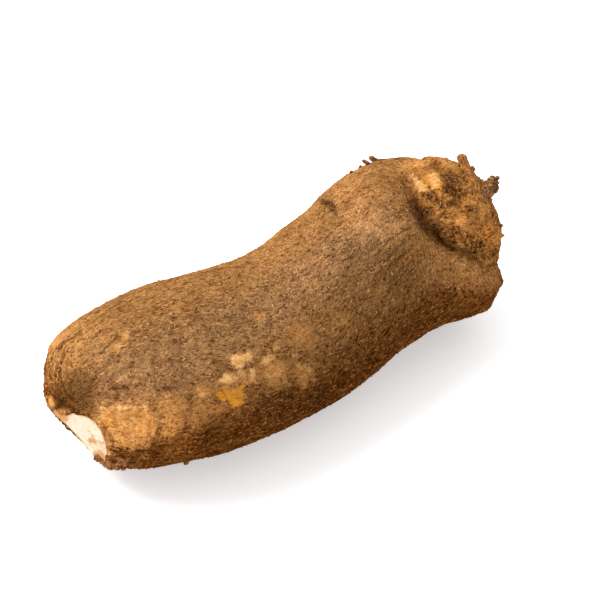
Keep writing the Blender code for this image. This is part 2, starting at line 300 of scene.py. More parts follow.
# The grain's own coordinates: the distance from the tail along the skin, shortened so that a pattern on it is
# drawn out along the root, and the way round the spine at an even width, so that it closes in at the tail.
GRAIN_STRETCH = 0.62
GRAIN_RADIUS = 0.054
row_gaps = np.linalg.norm(np.diff(smooth_skin, axis=0), axis=2)
from_tail = np.concatenate([np.zeros((1, POINTS_AROUND)), np.cumsum(row_gaps, axis=0)])
row_spine = spine(smooth_skin[..., 0].reshape(-1)).reshape(smooth_skin.shape)
off_spine = smooth_skin - row_spine
off_spine[..., 0] = 0.0
reach = np.linalg.norm(off_spine, axis=2, keepdims=True)
round_spine = units(off_spine) * (0.5 * GRAIN_RADIUS + 0.5 * reach)
grain = np.concatenate([from_tail[..., None] * GRAIN_STRETCH, round_spine[..., 1:]], axis=2).reshape(-1, 3)

body, crown, closed = body_and_crown(skin_points)
on_crown = smooth_step(0.5 + (body - crown) / 0.012) * smooth_step((skin_points[:, 0] - 0.085) / 0.02)
past_cut = (skin_points - CUT_POINT) @ units(CUT_NORMAL)
facing = skin_normals @ -camera_ahead
picture = seen_at(skin_points)
MILLIMETRES_PER_UNIT = 0.64
FACING_AWAY = -0.02
FAR_OUTSIDE = 20.0
FAR_OFF = 30.0


def inside(outline):
    """How far inside an outline in the picture each point of the skin is, in millimetres: the distance to its
    nearest side, less than nought outside it, and far less on skin that faces away from the camera."""
    corners = np.array(outline, dtype=float)
    nearest = np.full(len(picture), 1e9)
    within = np.zeros(len(picture), dtype=bool)
    for start, end in zip(corners, np.roll(corners, -1, axis=0)):
        side = end - start
        share = np.clip((picture - start) @ side / (side @ side), 0.0, 1.0)
        nearest = np.minimum(nearest, np.linalg.norm(picture - start - share[:, None] * side, axis=1))
        crosses = (start[1] > picture[:, 1]) != (end[1] > picture[:, 1])
        at = start[0] + (picture[:, 1] - start[1]) * side[0] / (side[1] if side[1] else 1.0)
        within ^= crosses & (picture[:, 0] < at)
    depth = np.where(within, nearest, -nearest) * MILLIMETRES_PER_UNIT
    return np.where(facing > FACING_AWAY, depth, -FAR_OUTSIDE)


def within_any(outlines):
    """How far inside the nearest of several outlines each point of the skin is."""
    return np.max([inside(outline) for outline in outlines], axis=0)


def beside(lines):
    """How far to the left of the nearest of several lines each point is, in millimetres, with its sign; past a
    line's ends the distance grows at once."""
    nearest = np.full(len(picture), FAR_OFF)
    for line in lines:
        corners = np.array(line, dtype=float)
        for start, end in zip(corners[:-1], corners[1:]):
            side = end - start
            share = np.clip((picture - start) @ side / (side @ side), 0.0, 1.0)
            off = picture - start - share[:, None] * side
            left = np.sign(off[:, 0] * side[1] - off[:, 1] * side[0])
            away = left * np.linalg.norm(off, axis=1) * MILLIMETRES_PER_UNIT
            nearest = np.where(np.abs(away) < np.abs(nearest), away, nearest)
    return np.where(facing > FACING_AWAY, nearest, FAR_OFF)


# Outlines and lines on the skin, drawn where the camera sees them, in picture units.
FLESH = [
    (49, 405), (52, 408), (57, 411), (61, 415), (68, 415), (73, 413), (80, 415), (88, 417), (92, 420),
    (96, 424), (101, 430), (103, 436), (105, 443), (107, 450), (108, 455), (106, 461), (100, 464),
    (95, 462), (84, 449), (74, 437), (64, 425), (55, 414),
]
FLESH_STAINS = [
    [(50, 405), (58, 411), (66, 414), (68, 421), (62, 424), (54, 415)],
    [(88, 439), (93, 438), (96, 443), (92, 446), (88, 443)],
    [(98, 441), (101, 443), (103, 449), (100, 448)],
    [(94, 450), (101, 452), (106, 458), (99, 461), (94, 456)],
]
SCRAPED = [
    [(94, 411), (98, 406), (120, 405), (136, 406), (149, 407), (152, 414), (157, 418), (158, 430),
     (152, 438), (146, 447), (130, 449), (118, 447), (112, 442), (106, 436), (103, 426), (97, 419)],
]
WORN_THIN = [
    [(156, 400), (162, 397), (176, 396), (186, 400), (190, 408), (184, 422), (176, 432), (164, 440),
     (156, 436), (162, 424), (160, 412)],
    [(192, 402), (205, 402), (216, 402), (226, 408), (222, 413), (210, 420), (200, 428), (190, 430),
     (190, 414)],
    [(216, 388), (225, 381), (240, 378), (252, 372), (262, 364), (262, 375), (252, 382), (243, 387),
     (230, 391)],
    [(263, 366), (275, 361), (286, 368), (292, 378), (283, 388), (268, 388), (262, 378)],
    [(292, 369), (303, 364), (313, 370), (314, 382), (302, 388), (293, 381)],
    [(286, 330), (297, 324), (310, 328), (316, 338), (306, 346), (292, 344)],
]
CREAM = [
    [(230, 358), (233, 354), (238, 354), (243, 353), (249, 351), (254, 354), (252, 362), (245, 363),
     (243, 369), (236, 369), (231, 364)],
    [(260, 363), (264, 356), (272, 354), (276, 358), (270, 363), (263, 366)],
    [(219, 382), (222, 376), (230, 372), (238, 370), (242, 374), (237, 381), (228, 385)],
    [(237, 368), (243, 368), (244, 375), (238, 376)],
    [(248, 369), (254, 368), (256, 374), (249, 376)],
    [(272, 347), (276, 343), (280, 348), (275, 352)],
    [(96, 406), (120, 406), (147, 406), (148, 409), (120, 409), (98, 410)],
    [(411, 174), (416, 175), (422, 182), (430, 190), (424, 193), (418, 190), (413, 182)],
    [(429, 175), (435, 173), (440, 176), (440, 182), (437, 187), (432, 186), (430, 180)],
]
TAN = [
    [(195, 388), (203, 385), (210, 390), (208, 398), (200, 399), (196, 395)],
    [(240, 378), (250, 376), (259, 377), (256, 383), (243, 385)],
    [(265, 364), (272, 360), (281, 362), (287, 369), (285, 378), (276, 383), (267, 381), (262, 372)],
    [(296, 368), (303, 364), (312, 366), (314, 376), (306, 383), (297, 381)],
    [(121, 333), (126, 330), (131, 336), (128, 342), (123, 339)],
    [(97, 360), (102, 357), (104, 361), (99, 365)],
    [(111, 346), (117, 342), (122, 345), (118, 351), (112, 351)],
    [(256, 313), (262, 313), (263, 320), (256, 321)],
    [(298, 336), (304, 334), (307, 339), (302, 342), (297, 340)],
    [(454, 216), (462, 214), (468, 221), (464, 229), (457, 226)],
    [(441, 163), (449, 161), (456, 164), (455, 169), (448, 170), (442, 168)],
    [(457, 178), (462, 178), (462, 183), (457, 183)],
    [(395, 170), (404, 164), (428, 160), (432, 164), (415, 170), (398, 173)],
    [(403, 167), (412, 164), (414, 167), (405, 170)],
    [(47, 398), (51, 396), (56, 403), (55, 408), (50, 406)],
    [(57, 409), (62, 408), (70, 411), (66, 414), (59, 413)],
    [(93, 416), (99, 419), (106, 428), (110, 440), (112, 452), (108, 455), (105, 443), (102, 432),
     (97, 424)],
]
OCHRE = [
    [(215, 394), (222, 389), (232, 390), (238, 388), (243, 386), (243, 403), (240, 407), (231, 406),
     (227, 401), (217, 399)],
    [(421, 176), (428, 174), (441, 177), (445, 184), (441, 190), (431, 189), (425, 184)],
]
RUSTY = [
    [(482, 222), (490, 216), (497, 222), (502, 236), (500, 246), (493, 251), (486, 248), (480, 236)],
    [(387, 270), (392, 261), (400, 255), (408, 252), (410, 258), (403, 266), (396, 274), (391, 277)],
    [(440, 166), (450, 162), (462, 168), (470, 180), (462, 190), (452, 184), (443, 178)],
    [(452, 205), (470, 200), (482, 214), (478, 236), (466, 232), (456, 220)],
    [(395, 172), (412, 162), (440, 158), (458, 163), (462, 172), (440, 176), (420, 172), (404, 176)],
]
DUSTY = [
    (92, 352), (112, 346), (140, 338), (170, 328), (215, 308), (258, 283), (305, 254), (340, 224),
    (372, 200), (398, 204), (408, 228), (388, 262), (348, 288), (306, 318), (266, 342), (236, 352),
    (214, 374), (190, 394), (165, 401), (140, 400), (112, 402), (96, 388),
]
DIRT_PATCH = [
    [(60, 378), (68, 371), (84, 370), (97, 376), (104, 384), (101, 394), (97, 404), (90, 414), (78, 411),
     (66, 409), (60, 404), (57, 392)],
]
SPOTS = [
    [(427, 166), (431, 161), (437, 160), (441, 165), (437, 169), (430, 170)],
    [(440, 178), (449, 172), (462, 177), (461, 184), (448, 184)],
    [(443, 184), (452, 182), (461, 188), (460, 197), (448, 196)],
    [(446, 200), (456, 199), (457, 207), (448, 209)],
    [(467, 206), (477, 205), (477, 213), (468, 214)],
    [(458, 186), (463, 188), (463, 194), (458, 193)],
    [(477, 241), (484, 243), (483, 250), (477, 248)],
    [(109, 386), (130, 385), (131, 390), (112, 392)],
    [(231, 370), (237, 370), (237, 374), (231, 374)],
    [(158, 424), (162, 428), (160, 436), (156, 434)],
    [(320, 200), (331, 199), (336, 205), (335, 214), (330, 213), (329, 206), (321, 205)],
]
# Where shade is painted in the crease.
CREASE_SHADE_OUTLINE = [
    [(407, 190), (413, 192), (421, 207), (430, 218), (439, 228), (448, 241), (460, 247), (474, 251),
     (473, 257), (459, 255), (445, 250), (433, 242), (422, 231), (414, 218), (408, 204)],
]
# Lighter and darker places, partly the skin's own and partly painted light and shade: where, how wide in picture
# units, and by how much.
TONES_AND_PAINTED_LIGHT = [
    # The tail and the skin above the cut.
    ((60, 345), 30, 0.36), ((56, 346), 10, 0.12), ((45, 384), 13, 0.94), ((52, 392), 10, 0.16),
    ((50, 402), 7, 0.80), ((62, 411), 7, 1.04), ((100, 392), 26, 0.22), ((127, 385), 18, 0.30),
    ((117, 370), 9, -0.16), ((110, 348), 13, 0.18), ((86, 346), 16, 0.10), ((139, 354), 12, -0.16),
    ((107, 305), 16, -0.08), ((130, 308), 26, -0.14), ((165, 327), 13, -0.18), ((89, 404), 9, 0.22),
    ((103, 424), 9, 0.55), ((145, 397), 9, 0.16), ((142, 402), 30, 0.28),
    # The scraped patch, and below it.
    ((117, 454), 9, 1.12), ((123, 428), 19, 0.37), ((136, 436), 16, 0.14), ((130, 419), 13, -0.29),
    ((155, 440), 30, 0.15), ((168, 427), 16, 0.26), ((160, 447), 12, 0.42), ((188, 441), 13, 0.60),
    ((202, 411), 9, -0.20), ((213, 428), 26, -0.10), ((232, 409), 10, 0.34),
    # The body.
    ((207, 391), 20, 0.22), ((194, 355), 13, 0.22), ((200, 258), 46, -0.13), ((150, 275), 30, -0.08),
    ((225, 290), 9, -0.10), ((240, 310), 24, 0.06), ((264, 312), 12, 0.26), ((232, 328), 12, -0.18),
    ((238, 359), 13, 0.26), ((250, 272), 18, -0.12), ((284, 271), 27, 0.21), ((286, 236), 16, -0.10),
    ((312, 282), 14, 0.28), ((294, 316), 15, 0.16), ((333, 312), 16, 0.16), ((344, 328), 12, 0.22),
    ((312, 376), 11, -0.22), ((321, 394), 14, -0.42), ((286, 389), 23, -0.30), ((320, 345), 26, -0.18),
    ((357, 345), 25, -0.24), ((374, 316), 20, -0.10), ((345, 298), 34, -0.26),
    # The neck.
    ((385, 252), 38, -0.34), ((406, 292), 26, -0.21), ((405, 262), 22, -0.10), ((393, 281), 11, -0.18),
    ((372, 222), 24, 0.30), ((361, 222), 18, 0.41), ((374, 232), 12, 0.12), ((394, 225), 15, 0.46),
    ((390, 250), 10, 0.25), ((376, 265), 11, 0.28), ((321, 261), 17, 0.21), ((334, 272), 14, 0.12),
    ((334, 257), 5, -0.28), ((357, 230), 4, -0.20), ((330, 234), 14, -0.10), ((341, 196), 10, 0.14),
    ((370, 190), 18, 0.12),
    # The crown and the head's edge.
    ((487, 232), 16, 0.90), ((495, 240), 12, 0.50), ((468, 268), 13, 0.30), ((474, 298), 22, 0.28),
    ((442, 216), 15, 0.16), ((435, 201), 12, 0.43), ((426, 180), 16, -0.20), ((448, 169), 9, -0.40),
    ((468, 196), 8, 0.16), ((470, 236), 8, 0.14), ((412, 166), 12, 0.16), ((436, 157), 11, 0.65),
    ((405, 198), 11, 0.44), ((431, 218), 8, -0.38), ((477, 224), 11, -0.56), ((453, 229), 8, 0.71),
    ((441, 243), 8, 0.45), ((457, 255), 8, -0.25), ((491, 255), 9, -0.28), ((466, 205), 7, -0.22),
    ((455, 187), 9, 0.24), ((418, 170), 8, -0.12), ((418, 236), 10, 0.08),
]
TAIL_WRINKLES = [
    [(60, 343), (53, 352), (49, 362), (48, 372), (52, 383), (58, 391)],
    [(47, 352), (45, 364), (45, 378), (49, 391), (55, 399)],
    [(68, 350), (62, 358), (59, 368), (60, 378)],
    [(56, 366), (55, 376), (57, 386)],
    [(74, 336), (66, 341), (60, 348)],
    [(62, 384), (66, 394), (75, 402)],
]
FISSURES = [
    [(57, 352), (62, 344), (70, 337), (82, 329)],
    [(60, 372), (60, 360), (64, 350)],
    [(102, 352), (110, 343), (121, 334)],
    [(360, 274), (371, 267), (380, 262)],
    [(388, 270), (394, 264), (400, 257), (408, 252)],
    [(384, 262), (391, 256), (398, 247), (404, 243)],
    [(366, 254), (374, 247), (380, 243)],
    [(388, 241), (398, 234), (411, 227)],
    [(318, 201), (325, 200), (332, 203), (335, 211)],
    [(441, 176), (449, 171), (458, 174), (464, 179)],
]

flesh = np.where(past_cut > -0.0012, inside(FLESH), -5.0)
scraped = within_any(SCRAPED)
worn_thin = within_any(WORN_THIN)
rusty = within_any(RUSTY)
dusty = inside(DUSTY)
cream = within_any(CREAM)
tan = within_any(TAN)
ochre = within_any(OCHRE)
dirt = np.minimum(within_any(DIRT_PATCH), -3 * tan)
spots = within_any(SPOTS)
painted_crease_shade = within_any(CREASE_SHADE_OUTLINE)
# The underside's soil and painted shade: more the more the skin faces down.
underside_soil_and_shade = smooth_step((0.68 - skin_normals[:, 2]) / 0.78)
fissure = beside(FISSURES)
wrinkle = beside(TAIL_WRINKLES)
flesh_stain = within_any(FLESH_STAINS)
# Painted light and shade, with the skin's own lighter and darker places, on skin that faces the camera.
tone_and_painted_light = 1 + smooth_step(facing / 0.1 + 1) * sum(
    change * np.exp(-((np.linalg.norm(picture - np.array(middle), axis=1) / width) ** 2))
    for middle, width, change in TONES_AND_PAINTED_LIGHT
)

# Where the camera can't see, worn and pale patches follow seeded waves, drawn out along the root.
TAN_ABOVE = 1.02
CREAM_ABOVE = 1.2
WORN_THIN_ABOVE = 0.55
unseen = smooth_step(-facing / 0.25)
long_grain = grain * [0.6, 1, 1]
patch_waves = noise(long_grain, 0.011, 31) + 0.5 * noise(grain, 0.004, 32)
thin_waves = noise(grain * [0.7, 1, 1], 0.03, 33)
tan = np.maximum(tan, (patch_waves - TAN_ABOVE) * 6 - 8 * (1 - unseen))
cream = np.maximum(cream, (patch_waves - CREAM_ABOVE) * 6 - 8 * (1 - unseen))
worn_thin = np.maximum(worn_thin, (thin_waves - WORN_THIN_ABOVE) * 12 - 12 * (1 - unseen))
dusty = np.where(unseen > 0.5, 9 * noise(long_grain, 0.05, 34), dusty)

# The relief, in metres along the way out: swells drawn out along the root, warts on the crown, wrinkles that
# run to the tail, and what is worn or carved away. Each list gives heights and sizes.
BODY_SWELLS = [(0.00036, 0.012), (0.00034, 0.0055), (0.00027, 0.003)]
CROWN_WARTS = [(0.0009, 0.011), (0.0006, 0.006), (0.00025, 0.003)]
FLESH_FACETS = [(0.00025, 0.008), (0.00012, 0.003)]
WRINKLE_DEPTH = 0.0006
SCRAPE_DEPTH = 0.0005
FISSURE_DEPTH = 0.0004
CREAM_RISE = 0.0007
DIRT_LUMPS = 0.0006
CUT_DEPTH = 0.0004
RIM_RISE = 0.0006
RIM_LUMPS = 0.0008


def swells(points, sizes, seed):
    """Soft random waves of several sizes, each times its height and with a seed of its own, summed."""
    return sum(height * noise(points, size, seed + number) for number, (height, size) in enumerate(sizes))


tail_near = share_between(skin_points[:, 0], -0.105, -0.145)
tail_folds = smooth_step(1 - np.abs(noise(grain * [0.5, 1, 1], 0.005, 7)) / 0.25)
relief = swells(grain, BODY_SWELLS, 1) * (1 - on_crown) + swells(skin_points, CROWN_WARTS, 4) * on_crown
relief = relief - WRINKLE_DEPTH * tail_near * tail_folds
relief = relief - SCRAPE_DEPTH * smooth_step(0.5 + scraped / 1.5) * (1 + noise(skin_points, 0.009, 8))
relief = relief - FISSURE_DEPTH * (np.exp(-((fissure / 1.1) ** 2)) + np.exp(-((wrinkle / 1.2) ** 2)))
relief = relief + CREAM_RISE * np.clip(cream, 0, 1.5) / 1.5
relief = relief + DIRT_LUMPS * smooth_step(0.5 + dirt / 2) * noise(skin_points, 0.0035, 9)
on_flesh = smooth_step(0.5 + flesh / 1.2) * (past_cut > -0.0008)
relief = relief * (1 - on_flesh) + (swells(skin_points, FLESH_FACETS, 10) - CUT_DEPTH) * on_flesh
rim = (1 - on_flesh) * np.exp(-((past_cut / 0.003) ** 2)) * smooth_step((flesh + 6) / 4)
relief = relief + rim * (RIM_RISE + RIM_LUMPS * noise(skin_points, 0.004, 12))
raised = skin_points + skin_normals * relief[:, None]

# Small swells and hollows at the outline: where they are seen, their reach, and how far they go right and up.
NUDGES = [
    ((497, 256), 0.007, 0.0026, 0.0), ((500, 272), 0.008, 0.0008, 0.0), ((504, 285), 0.0045, 0.0026, 0.0),
    ((500, 297), 0.007, -0.0024, 0.0012), ((501, 262), 0.005, -0.0008, 0.0),
    ((491, 309), 0.008, 0.0008, -0.0012), ((73, 438), 0.012, 0.0018, 0.0018),
    ((52, 412), 0.010, -0.0010, -0.0005), ((45, 398), 0.012, -0.0016, 0.0),
    ((105, 302), 0.012, -0.0008, 0.0010), ((250, 255), 0.016, -0.0004, 0.0012),
    ((170, 278), 0.020, 0.0, -0.0009), ((283, 232), 0.014, 0.0009, -0.0012),
    ((325, 192), 0.012, -0.0005, 0.0008), ((354, 170), 0.009, 0.0008, -0.0010),
    ((85, 314), 0.012, 0.0005, -0.0006), ((300, 216), 0.014, 0.0006, -0.0008),
    ((415, 157), 0.040, 0.0, 0.0009), ((155, 468), 0.020, 0.0, 0.0012),
    ((345, 393), 0.016, -0.0009, 0.0010), ((424, 336), 0.008, -0.0005, 0.0010),
    ((215, 457), 0.020, 0.0, -0.0011), ((300, 420), 0.025, -0.0002, 0.0006),
    ((385, 365), 0.010, 0.0005, -0.0006), ((405, 350), 0.012, 0.0003, -0.0005),
    ((458, 160), 0.004, 0.0, 0.0010), ((498, 214), 0.009, -0.0014, 0.0), ((448, 160), 0.010, 0.0, 0.0008),
    ((457, 320), 0.010, 0.0, -0.0006),
]
for seen_place, nudge_reach, right, up in NUDGES:
    nearest = np.argmin(np.linalg.norm(picture - np.array(seen_place), axis=1) + 10 * np.abs(facing))
    away = np.linalg.norm(skin_points - skin_points[nearest], axis=1) / nudge_reach
    raised = raised + np.exp(-(away**2))[:, None] * (right * camera_right + up * camera_up)
raised[:, 2] = np.maximum(raised[:, 2], 0.0)
raised[skin_points[:, 2] < 1e-5, 2] = 0.0


def closed_rings(name, *groups):
    """A mesh of closed shells. Each group has one shell or more, each of rings of points from one pole to the
    other; the first and last rings of each are its poles, so each of them is kept as one point."""
    kept, faces, before = [], [], 0
    for points in groups:
        rows, count = points.shape[-3:-1]
        size = (rows - 2) * count + 2
        index = np.arange(rows * count).reshape(rows, count) - (count - 1)
        index[0] = 0
        index[-1] = size - 1
        following = np.roll(index, -1, axis=1)
        quads = np.stack([index[1:-2], following[1:-2], following[2:-1], index[2:-1]], axis=-1).reshape(-1, 4)
        first = np.stack([index[0], following[1], index[1]], axis=-1)
        last = np.stack([index[-2], following[-2], index[-1]], axis=-1)
        kept.append(of_rings(points, points))
        shifts = before + size * np.arange(len(kept[-1]) // size)[:, None, None]
        faces += (shifts + quads).reshape(-1, 4).tolist()
        faces += (shifts + np.concatenate([first, last])).reshape(-1, 3).tolist()
        before += len(kept[-1])
    mesh = bpy.data.meshes.new(name)
    mesh.from_pydata(np.concatenate(kept).tolist(), [], faces)
    mesh.shade_smooth()
    return mesh


def of_rings(values, points):
    """The values of one or more grids of rings as closed_rings keeps them: one for each pole."""
    rows, count = points.shape[-3:-1]
    grid = np.asarray(values)
    grid = grid.reshape(-1, rows, count, grid.size // (points.size // 3))
    middle = grid[:, 1:-1].reshape(len(grid), -1, grid.shape[3])
    return np.concatenate([grid[:, 0, :1], middle, grid[:, -1, :1]], axis=1).reshape(-1, grid.shape[3])


def give_numbers(mesh, name, values):
    """Stores one number, or one vector, for each point of the mesh, for its material to read."""
    kind, field = ("FLOAT_VECTOR", "vector") if values.shape[1] == 3 else ("FLOAT", "value")
    attribute = mesh.attributes.new(name, kind, "POINT")
    attribute.data.foreach_set(field, values.astype(np.float32).ravel())


def place(name, mesh, material):
    """An object of the mesh with that material, riding on the yam's one body."""
    piece = bpy.data.objects.new(name, mesh)
    bpy.context.scene.collection.objects.link(piece)
    mesh.materials.append(material)
    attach(piece, "root")
    return piece


def screen(red, green, blue):
    """A colour given as it shows on a screen, from 0 to 255, as the linear colour that a shader takes."""
    shares = [value / 255 for value in (red, green, blue)]
    return tuple(s / 12.92 if s <= 0.04045 else ((s + 0.055) / 1.055) ** 2.4 for s in shares) + (1.0,)


def add_node(tree, kind, inputs, **settings):
    """A new node of that kind, its settings made, and each input linked or set."""
    new = tree.nodes.new(kind)
    for name, value in settings.items():
        setattr(new, name, value)
    for name, value in inputs.items():
        if isinstance(value, bpy.types.NodeSocket):
            tree.links.new(value, new.inputs[name])
        else:
            new.inputs[name].default_value = value
    return new


def sum_of(tree, what, *values):
    """The outcome of a sum of one to three numbers."""
    return add_node(tree, "ShaderNodeMath", dict(enumerate(values)), operation=what).outputs[0]


def waves_of(tree, vector, per_metre, detail=2.0, roughness=0.5, bend=0.0):
    """Noise with that many waves in a metre, about 0.5."""
    inputs = {"Vector": vector, "Scale": per_metre, "Detail": detail, "Roughness": roughness, "Distortion": bend}
    return add_node(tree, "ShaderNodeTexNoise", inputs).outputs["Fac"]


def rise(tree, value, low, high, to_low=0.0, to_high=1.0):
    """An even rise between two values of the input, held level past them."""
    inputs = {0: value, 1: low, 2: high, 3: to_low, 4: to_high}
    return add_node(tree, "ShaderNodeMapRange", inputs).outputs[0]


def blended(tree, share, first, second):
    """The first colour where share is 0, and the second where it is 1."""
    return add_node(tree, "ShaderNodeMix", {0: share, 6: first, 7: second}, data_type="RGBA").outputs[2]


def tinted(tree, share, first, second):
    """The first colour, multiplied by the second by that share."""
    inputs = {0: share, 6: first, 7: second}
    return add_node(tree, "ShaderNodeMix", inputs, data_type="RGBA", blend_type="MULTIPLY").outputs[2]


def stored(tree, name, output="Fac"):
    """What give_numbers stored under that name."""
    return add_node(tree, "ShaderNodeAttribute", {}, attribute_name=name).outputs[output]


DUST = screen(164, 121, 80)
ORANGE_CORK = screen(176, 124, 71)
LIGHT_CORK = screen(213, 157, 96)
DARK_CORK = (0.57, 0.48, 0.40, 1.0)
# Soil underneath, dark also to paint the underside's shade, and the cork that it tints.
SOIL_AND_UNDERSIDE_SHADE = screen(76, 40, 11)
SOILED_AND_SHADED_CORK = (1.0, 0.88, 0.72, 1.0)
CROWN_DARK = screen(92, 54, 21)
CROWN_LIGHT = screen(204, 141, 74)
# Darker cork with painted shade, for the relief's hollows.
DARK_GAPS_AND_SHADE = (0.20, 0.14, 0.09, 1.0)
RIDGE_TAN = screen(226, 172, 112)
# The ridges' tan where there is soil and painted shade.
SOIL_AND_SHADE_RIDGE = screen(184, 111, 44)
CROWN_RIDGE = screen(222, 160, 94)

# Sizes of the pattern, as waves in a metre.
MOTTLE_WAVES = 75.0
BLOTCH_WAVES = 150.0
CROWN_PATCH_WAVES = 120.0
CLOD_WAVES = 260.0
CURL_WAVES = 420.0
RIDGE_WAVES = 340.0
BREAK_WAVES = 520.0
CROWN_RIDGE_WAVES = 260.0
CRUMB_WAVES = 1150.0
GAP_WAVES = 560.0
PITS_IN_A_METRE = 300.0
TEAR_WAVES = 330.0
FIBRE_WAVES = 300.0
CURL_REACH = 0.0034
SKIN_BUMP = 0.0010

# The patches on the skin, in the order that they lie over one another: how ragged and how soft the edge is in
# millimetres, how much of what is under it a patch hides, and the colours of its dark and its light fibres.
PATCHES = {
    "worn_thin": (18.0, 2.8, 0.75, screen(206, 142, 78), screen(206, 142, 78)),
    "rusty": (16.0, 3.0, 0.60, screen(192, 126, 56), screen(192, 126, 56)),
    "tan": (12.0, 1.6, 0.78, screen(190, 126, 64), screen(226, 166, 100)),
    "scraped": (18.0, 2.6, 0.86, screen(182, 116, 52), screen(220, 162, 96)),
    "ochre": (10.0, 0.8, 0.85, screen(212, 140, 46), screen(212, 140, 46)),
    "cream": (7.0, 0.8, 0.90, screen(214, 152, 84), screen(238, 188, 126)),
    "spots": (11.0, 1.4, 0.88, screen(74, 42, 18), screen(74, 42, 18)),
}
DIRT = screen(64, 38, 16)
# Painted shade in the crease.
CREASE_SHADE_COLOUR = screen(52, 28, 11)
# Dark cork with painted shade in the cracks and the tail's folds.
DARK_CRACK_AND_SHADE = screen(56, 32, 14)
DARK_FOLD_AND_SHADE = screen(84, 50, 22)

# The cut flesh.
STARCH = screen(222, 212, 193)
STARCH_SHADE = screen(226, 202, 164)
STARCH_STAIN = screen(196, 132, 62)
STARCH_SPECK = screen(186, 124, 66)
DRIED_EDGE = screen(196, 134, 68)


def worn(tree, name, ragged, raggedness, softness):
    """How much of a stored patch shows: its depth, made ragged by noise, over a soft edge in millimetres."""
    depth = sum_of(tree, "MULTIPLY_ADD", ragged, raggedness, stored(tree, name))
    return rise(tree, depth, -softness, softness)


def about_nought(tree, *waves):
    """Noise as waves_of gives it, less 0.5."""
    return sum_of(tree, "SUBTRACT", waves_of(tree, *waves), 0.5)


def cork_colour(tree, here, along_grain):
    """The colour of the skin's zones: grey dust or orange cork in lighter and darker blotches, a patchy crown,
    and soil underneath, darker the more the skin faces down, which paints the underside's shade. Also how much
    it is soil and painted shade."""
    mottle = about_nought(tree, along_grain, MOTTLE_WAVES, 4.0, 0.65)
    dust_depth = sum_of(tree, "MULTIPLY_ADD", mottle, 42.0, stored(tree, "dusty"))
    cork = blended(tree, rise(tree, dust_depth, -10.0, 10.0), ORANGE_CORK, DUST)
    blotch = waves_of(tree, along_grain, BLOTCH_WAVES, 4.0, 0.7)
    cork = blended(tree, rise(tree, blotch, 0.50, 0.68, 0.0, 0.60), cork, LIGHT_CORK)
    cork = tinted(tree, rise(tree, blotch, 0.34, 0.52, 0.75, 0.0), cork, DARK_CORK)
    patches = waves_of(tree, here, CROWN_PATCH_WAVES, 5.0, 0.7)
    crown_cork = blended(tree, rise(tree, patches, 0.42, 0.58), CROWN_DARK, CROWN_LIGHT)
    cork = blended(tree, stored(tree, "crown"), cork, crown_cork)
    # Soil and painted shade: in blotches, and more the more the skin faces down.
    soil_and_shade_depth = sum_of(tree, "ADD", mottle, stored(tree, "underside_soil_and_shade"))
    clods = about_nought(tree, here, CLOD_WAVES, 4.0, 0.7)
    soil_and_shade_depth = sum_of(tree, "MULTIPLY_ADD", clods, 1.3, soil_and_shade_depth)
    soil_and_shade_share = rise(tree, soil_and_shade_depth, -0.08, 1.12)
    cork = tinted(tree, rise(tree, soil_and_shade_depth, -0.08, 0.75), cork, SOILED_AND_SHADED_CORK)
    return blended(tree, soil_and_shade_share, cork, SOIL_AND_UNDERSIDE_SHADE), soil_and_shade_share


def ridge_top(tree, soil_and_shade_share):
    """The colour of the cork's raised edges: tan, browner where there is soil and painted shade, and paler on
    the crown.
    """
    plain = blended(tree, soil_and_shade_share, RIDGE_TAN, SOIL_AND_SHADE_RIDGE)
    return blended(tree, stored(tree, "crown"), plain, CROWN_RIDGE)


def toned_and_lit(tree, colour):
    """The colour, lighter or darker by what is stored for its place, partly painted light and shade."""
    scaled = add_node(tree, "ShaderNodeVectorMath", {0: colour, 3: stored(tree, "tone_and_painted_light")}, operation="SCALE")
    return scaled.outputs[0]


def new_material(name):
    """A material with nodes, its tree, and the place on the object that its patterns read."""
    material = bpy.data.materials.new(name)
    material.use_nodes = True
    tree = material.node_tree
    return material, tree, add_node(tree, "ShaderNodeTexCoord", {}).outputs["Object"]


def finish(tree, colour, roughness, height, strength, distance, specular):
    """Joins a colour, a roughness and a bump of the given height to the tree's shader."""
    shader = tree.nodes["Principled BSDF"]
    bump = add_node(tree, "ShaderNodeBump", {"Height": height, "Strength": strength, "Distance": distance})
    tree.links.new(colour, shader.inputs["Base Color"])
    tree.links.new(roughness, shader.inputs["Roughness"])
    tree.links.new(bump.outputs["Normal"], shader.inputs["Normal"])
    shader.inputs["Specular IOR Level"].default_value = specular


skin, tree, here = new_material("yam_skin")
along_grain = stored(tree, "grain", "Vector")

# Both grains wander a little, so that the ridges curl.
curl_inputs = {"Vector": along_grain, "Scale": CURL_WAVES, "Detail": 1.0}
curl = add_node(tree, "ShaderNodeTexNoise", curl_inputs).outputs["Color"]
curl = add_node(tree, "ShaderNodeVectorMath", {0: curl, 1: (0.5, 0.5, 0.5)}, operation="SUBTRACT").outputs[0]
curl = add_node(tree, "ShaderNodeVectorMath", {0: curl, 3: CURL_REACH}, operation="SCALE").outputs[0]
curled = add_node(tree, "ShaderNodeVectorMath", {0: along_grain, 1: curl}, operation="ADD").outputs[0]
curled_here = add_node(tree, "ShaderNodeVectorMath", {0: here, 1: curl}, operation="ADD").outputs[0]

